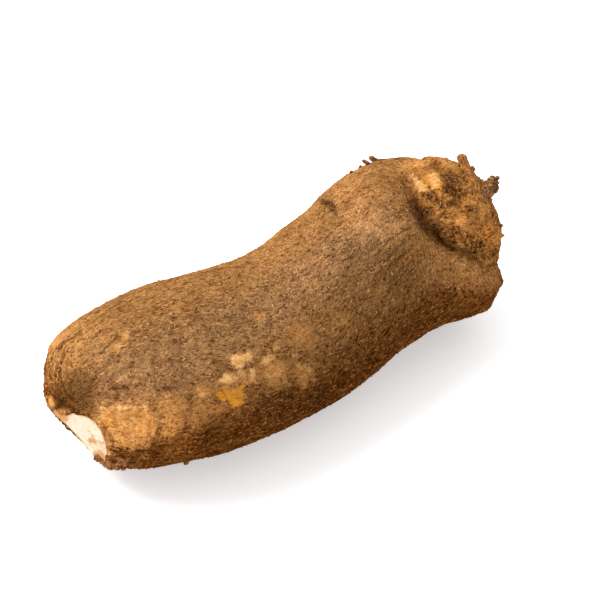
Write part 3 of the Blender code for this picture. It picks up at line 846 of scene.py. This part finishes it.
# The cork's ridges are where soft noise crosses its middle; a second noise breaks them into short lengths.
ridge_far = sum_of(tree, "ABSOLUTE", about_nought(tree, curled, RIDGE_WAVES, 1.0, 0.4))
ridge = rise(tree, ridge_far, 0.0, 0.065, 1.0, 0.0)
broken = rise(tree, waves_of(tree, along_grain, BREAK_WAVES, 0.0), 0.42, 0.58)
ridge = sum_of(tree, "MULTIPLY", ridge, broken)
crown_far = sum_of(tree, "ABSOLUTE", about_nought(tree, curled_here, CROWN_RIDGE_WAVES, 2.0, 0.5))
crown_ridge = rise(tree, crown_far, 0.0, 0.09, 1.0, 0.0)
ridge = rise(tree, stored(tree, "crown"), 0.0, 1.0, ridge, crown_ridge)
crumb = rise(tree, waves_of(tree, curled, CRUMB_WAVES, 2.0, 0.6), 0.32, 0.68)
gaps = rise(tree, waves_of(tree, curled, GAP_WAVES, 1.0, 0.5), 0.36, 0.47)
pit_inputs = {"Vector": curled_here, "Scale": PITS_IN_A_METRE}
pits = rise(tree, add_node(tree, "ShaderNodeTexVoronoi", pit_inputs).outputs["Distance"], 0.10, 0.24)
height = 0.0
for part, weight in ((ridge, 0.55), (crumb, 0.52), (gaps, 0.40), (pits, 0.25)):
    height = sum_of(tree, "MULTIPLY_ADD", part, weight, height)

# What is worn or torn, each patch with a ragged edge.
ragged = about_nought(tree, here, TEAR_WAVES, 4.0, 0.68)
fibres = rise(tree, waves_of(tree, here, FIBRE_WAVES, 5.0, 0.7), 0.40, 0.60)
colour, soil_and_shade_share = cork_colour(tree, here, along_grain)
shares = {}
for name, (raggedness, softness, most, dark, light) in PATCHES.items():
    shares[name] = sum_of(tree, "MULTIPLY", worn(tree, name, ragged, raggedness, softness), most)
    colour = blended(tree, shares[name], colour, blended(tree, fibres, dark, light))
colour = toned_and_lit(tree, colour)

# The relief colours them all: darker cork with painted shade in its hollows, and lighter tan on its ridges;
# less where the skin is worn smooth, and more where there is soil and painted shade.
bare = shares["scraped"]
for name, smoothness in (("cream", 1.0), ("ochre", 1.0), ("tan", 0.8), ("worn_thin", 0.5)):
    bare = sum_of(tree, "MAXIMUM", bare, sum_of(tree, "MULTIPLY", shares[name], smoothness))
rough_share = rise(tree, bare, 0.0, 1.0, 1.0, 0.45)
low = rise(tree, height, 0.38, 0.96, rise(tree, soil_and_shade_share, 0.0, 0.4, 0.82, 1.0), 0.0)
high = rise(tree, height, 0.98, 1.5, 0.0, rise(tree, soil_and_shade_share, 0.0, 0.4, 0.46, 0.86))
colour = tinted(tree, sum_of(tree, "MULTIPLY", low, rough_share), colour, DARK_GAPS_AND_SHADE)
colour = blended(tree, sum_of(tree, "MULTIPLY", high, rough_share), colour, ridge_top(tree, soil_and_shade_share))

# The dirt, the painted shade in the crease, and the cracks and the tail's folds, dark with painted shade, lie
# over them.
dirt_depth = sum_of(tree, "MULTIPLY_ADD", height, -7.0, stored(tree, "dirt"))
dirt_depth = sum_of(tree, "MULTIPLY_ADD", ragged, 24.0, dirt_depth)
colour = blended(tree, rise(tree, dirt_depth, -10.0, 1.0, 0.0, 0.56), colour, DIRT)
crease_shade_share = sum_of(tree, "MULTIPLY", worn(tree, "crease_shade", ragged, 12.0, 3.0), 0.72)
colour = blended(tree, crease_shade_share, colour, CREASE_SHADE_COLOUR)
dark_lines = (("fissure", 4.5, 1.0, 0.60, DARK_CRACK_AND_SHADE), ("wrinkle", 3.0, 0.9, 0.80, DARK_FOLD_AND_SHADE))
for name, wander, half_width, most, line_colour in dark_lines:
    line_far = sum_of(tree, "ABSOLUTE", sum_of(tree, "MULTIPLY_ADD", ragged, wander, stored(tree, name)))
    colour = blended(tree, rise(tree, line_far, 0.2, half_width, most, 0.0), colour, line_colour)

# The cut flesh is moist cream starch with faint fibres, stained here and there, and a darker dried edge.
flesh_depth = sum_of(tree, "MULTIPLY_ADD", ragged, 2.4, stored(tree, "flesh"))
flesh_share = rise(tree, flesh_depth, -0.12, 0.12)
starch_waves = rise(tree, waves_of(tree, here, 190.0, 4.0, 0.65), 0.40, 0.70)
starch = blended(tree, starch_waves, STARCH, STARCH_SHADE)
stain_depth = sum_of(tree, "MULTIPLY_ADD", ragged, 12.0, stored(tree, "flesh_stain"))
starch = blended(tree, rise(tree, stain_depth, -1.4, 1.0, 0.0, 0.85), starch, STARCH_STAIN)
specks = waves_of(tree, here, 420.0, 3.0, 0.6)
starch = blended(tree, rise(tree, specks, 0.60, 0.70, 0.0, 0.75), starch, STARCH_SPECK)
starch = blended(tree, rise(tree, flesh_depth, 0.1, 1.6, 0.8, 0.0), starch, DRIED_EDGE)
colour = blended(tree, flesh_share, colour, starch)

bump_height = sum_of(tree, "MULTIPLY", height, rise(tree, bare, 0.0, 1.0, 1.0, 0.4))
bump_height = rise(tree, flesh_share, 0.0, 1.0, bump_height, sum_of(tree, "MULTIPLY", crumb, 0.12))
roughness = rise(tree, height, 0.3, 1.4, 0.92, 0.75)
roughness = rise(tree, flesh_share, 0.0, 1.0, roughness, 0.5)
finish(tree, colour, roughness, bump_height, 1.0, SKIN_BUMP, 0.0)

tuber_mesh = closed_rings("tuber", raised.reshape(smooth_skin.shape))
for name, values in {
    "grain": grain, "crown": on_crown, "flesh": flesh, "flesh_stain": flesh_stain, "scraped": scraped,
    "cream": cream, "tan": tan, "ochre": ochre, "spots": spots, "worn_thin": worn_thin, "rusty": rusty,
    "dusty": dusty, "dirt": dirt, "underside_soil_and_shade": underside_soil_and_shade, "crease_shade": painted_crease_shade, "fissure": fissure,
    "wrinkle": wrinkle, "tone_and_painted_light": tone_and_painted_light,
}.items():
    give_numbers(tuber_mesh, name, of_rings(values, smooth_skin))
tuber = place("tuber", tuber_mesh, skin)
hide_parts("yam")


# The cork ridges
# Short curled ridges of dead cork, torn apart as the root swelled under them. They grew with the skin and
# stand about a third of a millimetre out of it, most of them along the root.

RIDGES_PER_PIECE = 6000
RIDGE_RINGS = 6
RIDGE_LENGTHS = (0.0014, 0.0048)
RIDGE_HALF_WIDTHS = (0.00018, 0.00044)
RIDGE_SPREAD = 0.95
RIDGE_BENDING = 1.6
RIDGE_LIFT = 0.35
SUNK_ENDS = 0.6

column_gaps = np.linalg.norm(np.roll(smooth_skin, -1, axis=1) - smooth_skin, axis=2)
row_gaps = np.concatenate([row_gaps, row_gaps[-1:]])
cell_areas = row_gaps * column_gaps
cell_areas[:5] = 0.0
cell_areas[-6:] = 0.0
cell_areas[smooth_skin[..., 2] < 0.0012] = 0.0


def between_points(values, row, column):
    """The values of the skin's grid at places between its rows and columns, by the four points round each."""
    grid = np.asarray(values).reshape(ROWS_ALONG, POINTS_AROUND, -1)
    row = np.clip(row, 0.0, ROWS_ALONG - 1.001)
    below, left = np.floor(row).astype(int), np.floor(column).astype(int)
    up, over = (row - below)[..., None], (column - left)[..., None]
    right, left = (left + 1) % POINTS_AROUND, left % POINTS_AROUND
    first = grid[below, left] * (1 - over) + grid[below, right] * over
    second = grid[below + 1, left] * (1 - over) + grid[below + 1, right] * over
    return first * (1 - up) + second * up


def scattered(draw, count, liking):
    """Random places on the skin, as rows and columns: even over its area, times the liking of each place."""
    reached = np.cumsum(cell_areas.ravel() * liking)
    cell = np.searchsorted(reached, draw.uniform(0.0, reached[-1], count))
    row, column = np.divmod(cell, POINTS_AROUND)
    return row + draw.uniform(size=count), column + draw.uniform(size=count)


def strands(draw, count, liking, lengths, half_widths, rings, spread, bending, lift):
    """Thin closed shells that lie on the skin: for each, rings of four points along a path that starts near the
    grain, turns by the given bending, and sinks at both ends. Also the place of each ring on the skin's
    grid."""
    row, column = scattered(draw, count, liking)
    length = draw.uniform(*lengths, count)[:, None]
    half_width = draw.uniform(*half_widths, count)[:, None]
    along = -0.5 * np.cos(np.linspace(0.0, math.pi, rings))
    heading = draw.normal(0.0, spread, count)[:, None] + draw.normal(0.0, bending, count)[:, None] * along
    step = length * np.gradient(along)
    forward = np.cumsum(np.cos(heading) * step, axis=1) - length / 2
    sideways = np.cumsum(np.sin(heading) * step, axis=1)
    rows = row[:, None] + forward / between_points(row_gaps, row, column)
    columns = column[:, None] + sideways / between_points(column_gaps, row, column)
    centre = between_points(raised, rows, columns)
    out = units(between_points(skin_normals, rows, columns))
    ahead = units(np.gradient(centre, axis=1))
    side = units(np.cross(out, ahead))
    taper = np.sqrt(np.clip(1 - (2 * along) ** 2, 0.0, 1.0))
    thick = half_width * taper * draw.uniform(0.65, 1.25, (count, rings))
    centre = centre + out * (half_width * (lift * (1 + SUNK_ENDS) * taper - SUNK_ENDS))[..., None]
    turn = np.arange(4)[:, None] * math.pi / 2
    ring = np.cos(turn) * side[:, :, None] + np.sin(turn) * out[:, :, None]
    points = centre[:, :, None] + ring * thick[..., None, None]
    points[..., 2] = np.maximum(points[..., 2], 0.0)
    return points, rows, columns


# The strands darken on dirt and dark spots, and with painted shade in the crease.
dirt_and_crease_shade = 0.72 * smooth_step(0.5 + np.maximum(dirt, spots) / 4)
dirt_and_crease_shade = np.maximum(dirt_and_crease_shade, 0.80 * smooth_step(0.5 + painted_crease_shade / 5))


def strand_piece(name, material, draw, points, rows, columns):
    """A piece made of strands, which keep the numbers of the skin under them and a random shade each."""
    mesh = closed_rings(name, points)
    for stored_name, values in {
        "crown": on_crown, "dusty": dusty, "underside_soil_and_shade": underside_soil_and_shade, "grain": grain, "tone_and_painted_light": tone_and_painted_light, "dirt_and_crease_shade": dirt_and_crease_shade,
    }.items():
        under = between_points(values, rows, columns)[:, :, None]
        spread_out = np.broadcast_to(under, points.shape[:3] + under.shape[3:])
        give_numbers(mesh, stored_name, of_rings(spread_out, points))
    shade = np.broadcast_to(draw.uniform(size=(len(points), 1, 1, 1)), points.shape[:3] + (1,))
    give_numbers(mesh, "shade", of_rings(shade, points))
    return place(name, mesh, material)


GRIT_WAVES = 1500.0
GRIT_BUMP = 0.0005
GRIT_SHADE = (0.40, 0.32, 0.24, 1.0)
DIRT_AND_CREASE_SHADE_TINT = (0.22, 0.17, 0.12, 1.0)
ridge_cork, tree, here = new_material("ridge_cork")
colour, soil_and_shade_share = cork_colour(tree, here, stored(tree, "grain", "Vector"))
grit = waves_of(tree, here, GRIT_WAVES, 2.0, 0.6)
lit = rise(tree, stored(tree, "shade"), rise(tree, soil_and_shade_share, 0.0, 1.0, 0.15, 0.36), 1.0, 0.0, 0.80)
colour = toned_and_lit(tree, blended(tree, lit, colour, ridge_top(tree, soil_and_shade_share)))
colour = tinted(tree, rise(tree, grit, 0.35, 0.60, 0.55, 0.0), colour, GRIT_SHADE)
# Darker on dirt, and painted shade in the crease.
colour = tinted(tree, stored(tree, "dirt_and_crease_shade"), colour, DIRT_AND_CREASE_SHADE_TINT)
finish(tree, colour, rise(tree, grit, 0.3, 0.7, 0.95, 0.8), grit, 0.8, GRIT_BUMP, 0.0)

draw = np.random.default_rng(61)
rough_skin = smooth_step(-past_cut / 0.004 - 0.3) * (1 - 0.8 * smooth_step(0.5 + scraped / 2))
rough_skin = rough_skin * (1 - 0.95 * smooth_step(0.5 + np.maximum(cream, ochre) / 1.5))
rough_skin = rough_skin * (1 - 0.8 * smooth_step(0.5 + tan / 1.5))
rough_skin = rough_skin * (1 - 0.4 * smooth_step(0.5 + worn_thin / 6))
for number in (1, 2):
    strand_piece(
        f"cork_ridges_{number}", ridge_cork, draw,
        *strands(
            draw, RIDGES_PER_PIECE, rough_skin, RIDGE_LENGTHS, RIDGE_HALF_WIDTHS, RIDGE_RINGS, RIDGE_SPREAD,
            RIDGE_BENDING, RIDGE_LIFT,
        ),
    )


# The crumbs
# Crumbs of dried soil and dead cork that cling to the skin, thickest in the crease, on the crown and round the
# cut. Each is stuck down by its lower half.

CRUMBS = 5200
CRUMB_HALF_WIDTHS = (0.00025, 0.00085)
CRUMB_RINGS = 5
CRUMB_SIDES = 6
draw = np.random.default_rng(67)
soil_liking = 0.75 + 0.9 * underside_soil_and_shade + 1.8 * on_crown + 5.0 * smooth_step(0.5 + dirt / 4)
soil_liking = soil_liking + 6.0 * smooth_step(0.5 + painted_crease_shade / 4) + 5.0 * smooth_step(1 + past_cut / 0.012)
crumb_rows, crumb_columns = scattered(draw, CRUMBS, rough_skin * soil_liking)
crumb_out = units(between_points(skin_normals, crumb_rows, crumb_columns))
crumb_half = np.interp(draw.uniform(size=CRUMBS) ** 3, [0.0, 1.0], CRUMB_HALF_WIDTHS)
crumb_centre = between_points(raised, crumb_rows, crumb_columns)
crumb_side = units(np.cross(crumb_out, [0.37, 0.21, 0.9]))
crumb_up = np.cross(crumb_out, crumb_side)
lean = (np.linspace(-0.5, 0.5, CRUMB_RINGS) * math.pi)[:, None, None]
turn = (np.arange(CRUMB_SIDES) * 2 * math.pi / CRUMB_SIDES)[:, None]
around = np.cos(turn) * crumb_side[:, None, None] + np.sin(turn) * crumb_up[:, None, None]
ways_out = np.cos(lean) * around + np.sin(lean) * crumb_out[:, None, None]
wobble = draw.uniform(0.6, 1.3, ways_out.shape[:3])
wobble[:, 0] = 1.0
wobble[:, -1] = 1.0
crumb_points = crumb_centre[:, None, None] + ways_out * (crumb_half[:, None, None] * wobble)[..., None]
crumb_points[..., 2] = np.maximum(crumb_points[..., 2], 0.0)
strand_piece(
    "crumbs", ridge_cork, draw, crumb_points,
    np.repeat(crumb_rows[:, None], CRUMB_RINGS, axis=1), np.repeat(crumb_columns[:, None], CRUMB_RINGS, axis=1),
)


# The hair roots
# The dry remains of hair-thin roots, which cling to the skin and curl along it.

HAIRS = 1100
HAIR_LENGTHS = (0.005, 0.016)
HAIR_HALF_WIDTHS = (0.00010, 0.00019)
HAIR_RINGS = 11
HAIR_SPREAD = 0.8
HAIR_BENDING = 3.0
HAIR_LIFT = 1.4
draw = np.random.default_rng(71)
hair_liking = rough_skin * (0.4 + underside_soil_and_shade + on_crown)
strand_piece(
    "hair_roots", ridge_cork, draw,
    *strands(
        draw, HAIRS, hair_liking, HAIR_LENGTHS, HAIR_HALF_WIDTHS, HAIR_RINGS, HAIR_SPREAD, HAIR_BENDING,
        HAIR_LIFT,
    ),
)


# The vine stump
# The dry foot of the vine that the tuber hung from: a woody rod that lies back over the crown, snapped off at
# its tip. It grows out of the crown, and its bark is ribbed along its length.

STUMP_PATH = [
    (0.1290, -0.0290, 0.0990), (0.1305, -0.0245, 0.1080), (0.1315, -0.0150, 0.1164),
    (0.1322, -0.0078, 0.1207), (0.1329, -0.0042, 0.1234), (0.1332, -0.0022, 0.1252),
]
STUMP_RADII = [0.0050, 0.0041, 0.0033, 0.0031, 0.0033, 0.0035]
STUMP_FLARES = [
    [(0.1320, -0.0180, 0.1135), (0.1285, -0.0200, 0.1095), (0.1235, -0.0225, 0.1045)],
    [(0.1325, -0.0200, 0.1110), (0.1330, -0.0270, 0.1055), (0.1325, -0.0310, 0.0990)],
]
STUMP_FLARE_RADII = [0.0030, 0.0038, 0.0030]
ROD_GRAIN_STRETCH = 0.45


def rod(path, radii, rings, around, lump_height, lump_size, seed):
    """A rod along a smooth curve through the points, and its grain. Its rings lie closer towards its ends,
    which are rounded to poles, and soft random waves of the given height and size move its surface in and
    out."""
    path = np.array(path, dtype=float)
    places = np.concatenate([[0.0], np.cumsum(np.linalg.norm(np.diff(path, axis=0), axis=1))])
    at = places[-1] * (0.5 - 0.5 * np.cos(np.linspace(0.0, math.pi, rings)))
    centre = np.stack([smooth_curve(at, places, path[:, k]) for k in range(3)], axis=-1)
    radius = smooth_curve(at, places, np.array(radii))
    to_end = np.minimum(at / radii[0], (places[-1] - at) / radii[-1])
    radius = radius * np.sqrt(1 - (1 - np.clip(to_end, 0.0, 1.0)) ** 2)
    ahead = units(np.gradient(centre, axis=0))
    level = np.eye(3)[np.argmin(np.abs(ahead).sum(axis=0))]
    side = units(np.cross(level, ahead))
    up = np.cross(ahead, side)
    turn = (np.arange(around) * 2 * math.pi / around)[:, None]
    out = np.cos(turn) * side[:, None] + np.sin(turn) * up[:, None]
    points = centre[:, None] + out * radius[:, None, None]
    waves = swells(points.reshape(-1, 3), [(1.0, lump_size), (0.5, lump_size / 2)], seed)
    points = points + out * (waves.reshape(rings, around, 1) * lump_height * (radius[:, None, None] > 0))
    grain_parts = [at[:, None, None] * ROD_GRAIN_STRETCH, max(radii) * np.cos(turn), max(radii) * np.sin(turn)]
    return points, np.concatenate([np.broadcast_to(part, (rings, around, 1)) for part in grain_parts], axis=2)


RIB_WAVES = 900.0
BARK_GRIT_WAVES = 1100.0
BARK_BUMP = 0.0012
BARK_SPECULAR = 0.15


def bark(name, dark, plain, light):
    """Dry bark that is ribbed along its grain: three colours by its height, and a bump of the same height."""
    material, tree, here = new_material(name)
    ribs = waves_of(tree, stored(tree, "grain", "Vector"), RIB_WAVES, 3.0, 0.6)
    height = sum_of(tree, "MULTIPLY_ADD", waves_of(tree, here, BARK_GRIT_WAVES, 2.0, 0.6), 0.5, ribs)
    colour = blended(tree, rise(tree, height, 0.58, 0.78), dark, plain)
    colour = blended(tree, rise(tree, height, 0.76, 0.95), colour, light)
    finish(tree, colour, rise(tree, height, 0.5, 1.0, 0.9, 0.75), height, 1.0, BARK_BUMP, BARK_SPECULAR)
    return material


def grown(name, material, *rods):
    """A piece made of rods, with their grain."""
    mesh = closed_rings(name, *[points for points, _ in rods])
    give_numbers(mesh, "grain", np.concatenate([of_rings(grain, points) for points, grain in rods]))
    return place(name, mesh, material)


STUMP_BUMPS = [
    ((0.1346, -0.0133, 0.1191), 0.0018), ((0.1327, -0.0179, 0.1153), 0.0019),
    ((0.1322, -0.0222, 0.1113), 0.0017), ((0.1300, -0.0060, 0.1200), 0.0014),
    ((0.1290, -0.0128, 0.1150), 0.0018), ((0.1366, -0.0232, 0.1130), 0.0014),
]


def ball(centre, radius, seed):
    """A small lumpy ball: a rod as long as it is wide."""
    path = np.array(centre) + np.array([[0.0, 0.0, -radius], [0.0, 0.0, 0.0], [0.0, 0.0, radius]])
    return rod(path, [radius] * 3, 20, 24, 0.30 * radius, 0.7 * radius, seed)


def balls(places, seed):
    """Small lumpy balls at the given centres, with the given radii."""
    return [ball(centre, radius, seed + number) for number, (centre, radius) in enumerate(places)]


vine_bark = bark("vine_bark", screen(84, 48, 18), screen(160, 104, 50), screen(204, 144, 78))
grown(
    "vine_stump", vine_bark, rod(STUMP_PATH, STUMP_RADII, 70, 36, 0.00045, 0.003, 41),
    *[rod(path, STUMP_FLARE_RADII, 40, 32, 0.0009, 0.0035, 81 + number)
      for number, path in enumerate(STUMP_FLARES)],
    *balls(STUMP_BUMPS, 101),
)


# The bud stub
# A dead bud beside the stump, broken off: a short rough neck that flares to a ragged end. It grows out of the
# crown.

STUB_PATHS = [
    [(0.1285, -0.0205, 0.1020), (0.1345, -0.0252, 0.1092), (0.1400, -0.0272, 0.1148),
     (0.1421, -0.0278, 0.1172)],
    [(0.1300, -0.0230, 0.1030), (0.1355, -0.0268, 0.1095), (0.1400, -0.0298, 0.1135),
     (0.1412, -0.0305, 0.1146)],
    [(0.1310, -0.0240, 0.1040), (0.1345, -0.0275, 0.1075), (0.1375, -0.0300, 0.1105),
     (0.1390, -0.0310, 0.1112)],
]
STUB_RADII = [
    [0.0042, 0.0033, 0.0037, 0.0027],
    [0.0042, 0.0038, 0.0040, 0.0032],
    [0.0040, 0.0038, 0.0037, 0.0030],
]
STUB_LUMPS = [
    ((0.1405, -0.0262, 0.1172), 0.0013), ((0.1424, -0.0288, 0.1175), 0.0014),
    ((0.1404, -0.0306, 0.1153), 0.0015), ((0.1392, -0.0320, 0.1132), 0.0014),
    ((0.1378, -0.0320, 0.1104), 0.0015), ((0.1362, -0.0300, 0.1088), 0.0013),
    ((0.1372, -0.0242, 0.1136), 0.0012), ((0.1412, -0.0270, 0.1160), 0.0016),
    ((0.1386, -0.0296, 0.1120), 0.0017),
]
bud_bark = bark("bud_bark", screen(46, 27, 12), screen(126, 84, 45), screen(182, 132, 82))
grown(
    "bud_stub", bud_bark,
    *[rod(path, radii, 50, 40, 0.0012, 0.0024, 91 + number)
      for number, (path, radii) in enumerate(zip(STUB_PATHS, STUB_RADII))],
    *balls(STUB_LUMPS, 111),
)


# The rootlets
# Two thin feeding roots, broken short. The longer one lies on the head and lifts off at its torn end, and both
# grow out of the skin.

LONG_ROOT_PATH = [
    (0.1260, 0.0300, 0.1000), (0.1180, 0.0370, 0.1038), (0.1085, 0.0412, 0.1050), (0.1028, 0.0446, 0.1056),
    (0.0984, 0.0478, 0.1087),
]
LONG_ROOT_RADII = [0.0014, 0.0014, 0.0014, 0.0017, 0.0017]
SHORT_ROOT_PATH = [
    (0.0980, 0.0360, 0.1000), (0.0952, 0.0408, 0.1066), (0.0926, 0.0443, 0.1094), (0.0913, 0.0462, 0.1104),
]
SHORT_ROOT_RADII = [0.0015, 0.0014, 0.0013, 0.0012]
root_bark = bark("root_bark", screen(70, 42, 18), screen(132, 86, 44), screen(180, 126, 72))
grown(
    "rootlets", root_bark,
    rod(LONG_ROOT_PATH, LONG_ROOT_RADII, 90, 14, 0.0003, 0.002, 45),
    rod(SHORT_ROOT_PATH, SHORT_ROOT_RADII, 50, 14, 0.0003, 0.002, 47),
)


# The spur and the knots
# The stub of a side root at the crown's edge, and small hard knots of skin and dried soil: a cluster under the
# cut, one under the belly, and a few on the head and the crown. All grow out of the skin.

SPUR_PATH = [(0.1280, -0.0400, 0.0820), (0.1330, -0.0440, 0.0838), (0.1365, -0.0462, 0.0840)]
SPUR_RADII = [0.0034, 0.0026, 0.0011]
KNOTS = [
    ((-0.1490, -0.0128, 0.0259), 0.0032), ((-0.1492, -0.0048, 0.0225), 0.0028),
    ((-0.1516, -0.0028, 0.0255), 0.0019), ((-0.1454, -0.0223, 0.0375), 0.0030),
    ((-0.1462, -0.0168, 0.0296), 0.0028),
]
knot_bark = bark("knot_bark", screen(76, 42, 17), screen(150, 96, 46), screen(200, 142, 80))
spur_bark = bark("spur_bark", screen(120, 72, 30), screen(190, 124, 58), screen(214, 150, 82))
grown("crown_spur", spur_bark, rod(SPUR_PATH, SPUR_RADII, 40, 24, 0.0007, 0.003, 49))
# Smaller knots, where they are seen in the picture, and their radii.
SMALL_KNOTS = [
    ((96, 463), 0.0018), ((100, 466), 0.0016), ((103, 460), 0.0022), ((106, 465), 0.0026),
    ((109, 456), 0.0020), ((112, 462), 0.0026), ((115, 452), 0.0017), ((117, 466), 0.0024),
    ((120, 457), 0.0024), ((125, 463), 0.0022), ((129, 458), 0.0015), ((186, 461), 0.0017),
    ((94, 461), 0.0020), ((111, 449), 0.0014), ((123, 468), 0.0018), ((132, 465), 0.0014),
    ((360, 168), 0.0013), ((352, 173), 0.0013), ((476, 210), 0.0014), ((493, 214), 0.0014),
    ((500, 226), 0.0013),
]
for seen_place, radius in SMALL_KNOTS:
    nearest = np.argmin(np.linalg.norm(picture - np.array(seen_place), axis=1) + 50 * (facing < 0))
    KNOTS.append((raised[nearest] + 0.35 * radius * skin_normals[nearest], radius))
grown("knots", knot_bark, *balls(KNOTS, 51))


# The floor and the light
# A pale sheet that the yam lies on, a broad soft light above and behind its left, and a pale room round it.

floor_material = bpy.data.materials.new("floor")
floor_material.use_nodes = True
floor_shader = floor_material.node_tree.nodes["Principled BSDF"]
floor_shader.inputs["Base Color"].default_value = (0.90, 0.90, 0.905, 1.0)
floor_shader.inputs["Emission Color"].default_value = (1.0, 1.0, 1.0, 1.0)
floor_shader.inputs["Emission Strength"].default_value = 0.45
floor_shader.inputs["Roughness"].default_value = 0.9
floor_mesh = bpy.data.meshes.new("floor")
FLOOR_HALF = 6.0
corner_ways = ((-1, -1), (1, -1), (1, 1), (-1, 1))
floor_corners = [(FLOOR_HALF * right, FLOOR_HALF * up, 0.0) for right, up in corner_ways]
floor_mesh.from_pydata(floor_corners, [], [(0, 1, 2, 3)])
floor_mesh.materials.append(floor_material)
floor = bpy.data.objects.new("floor", floor_mesh)
bpy.context.scene.collection.objects.link(floor)


def soft_light(name, direction, distance, size, power):
    """A square lamp that shines on the yam from that direction."""
    data = bpy.data.lights.new(name, "AREA")
    data.size = size
    data.energy = power
    lamp = bpy.data.objects.new(name, data)
    way = Vector(direction).normalized()
    lamp.location = way * distance + Vector((0.0, 0.0, 0.05))
    lamp.rotation_mode = "QUATERNION"
    lamp.rotation_quaternion = way.to_track_quat("Z", "Y")
    bpy.context.scene.collection.objects.link(lamp)


soft_light("key", (-0.30, 0.50, 0.85), 2.5, 1.6, 60.0)

# The room is bright on the key's side, from the floor to overhead, and dim on the other.
world = bpy.data.worlds.new("room")
world.use_nodes = True
tree = world.node_tree
BRIGHT_SIDE = (-0.33, 0.88, 0.33)
way_out = add_node(tree, "ShaderNodeTexCoord", {}).outputs["Generated"]
bright_side = add_node(tree, "ShaderNodeVectorMath", {0: way_out, 1: BRIGHT_SIDE}, operation="DOT_PRODUCT")
room_light = rise(tree, bright_side.outputs["Value"], -0.6, 0.9, 0.45, 1.30)
tree.nodes["Background"].inputs["Color"].default_value = (1.0, 1.0, 1.0, 1.0)
tree.links.new(room_light, tree.nodes["Background"].inputs["Strength"])
bpy.context.scene.world = world
bpy.context.scene.view_settings.view_transform = "Standard"
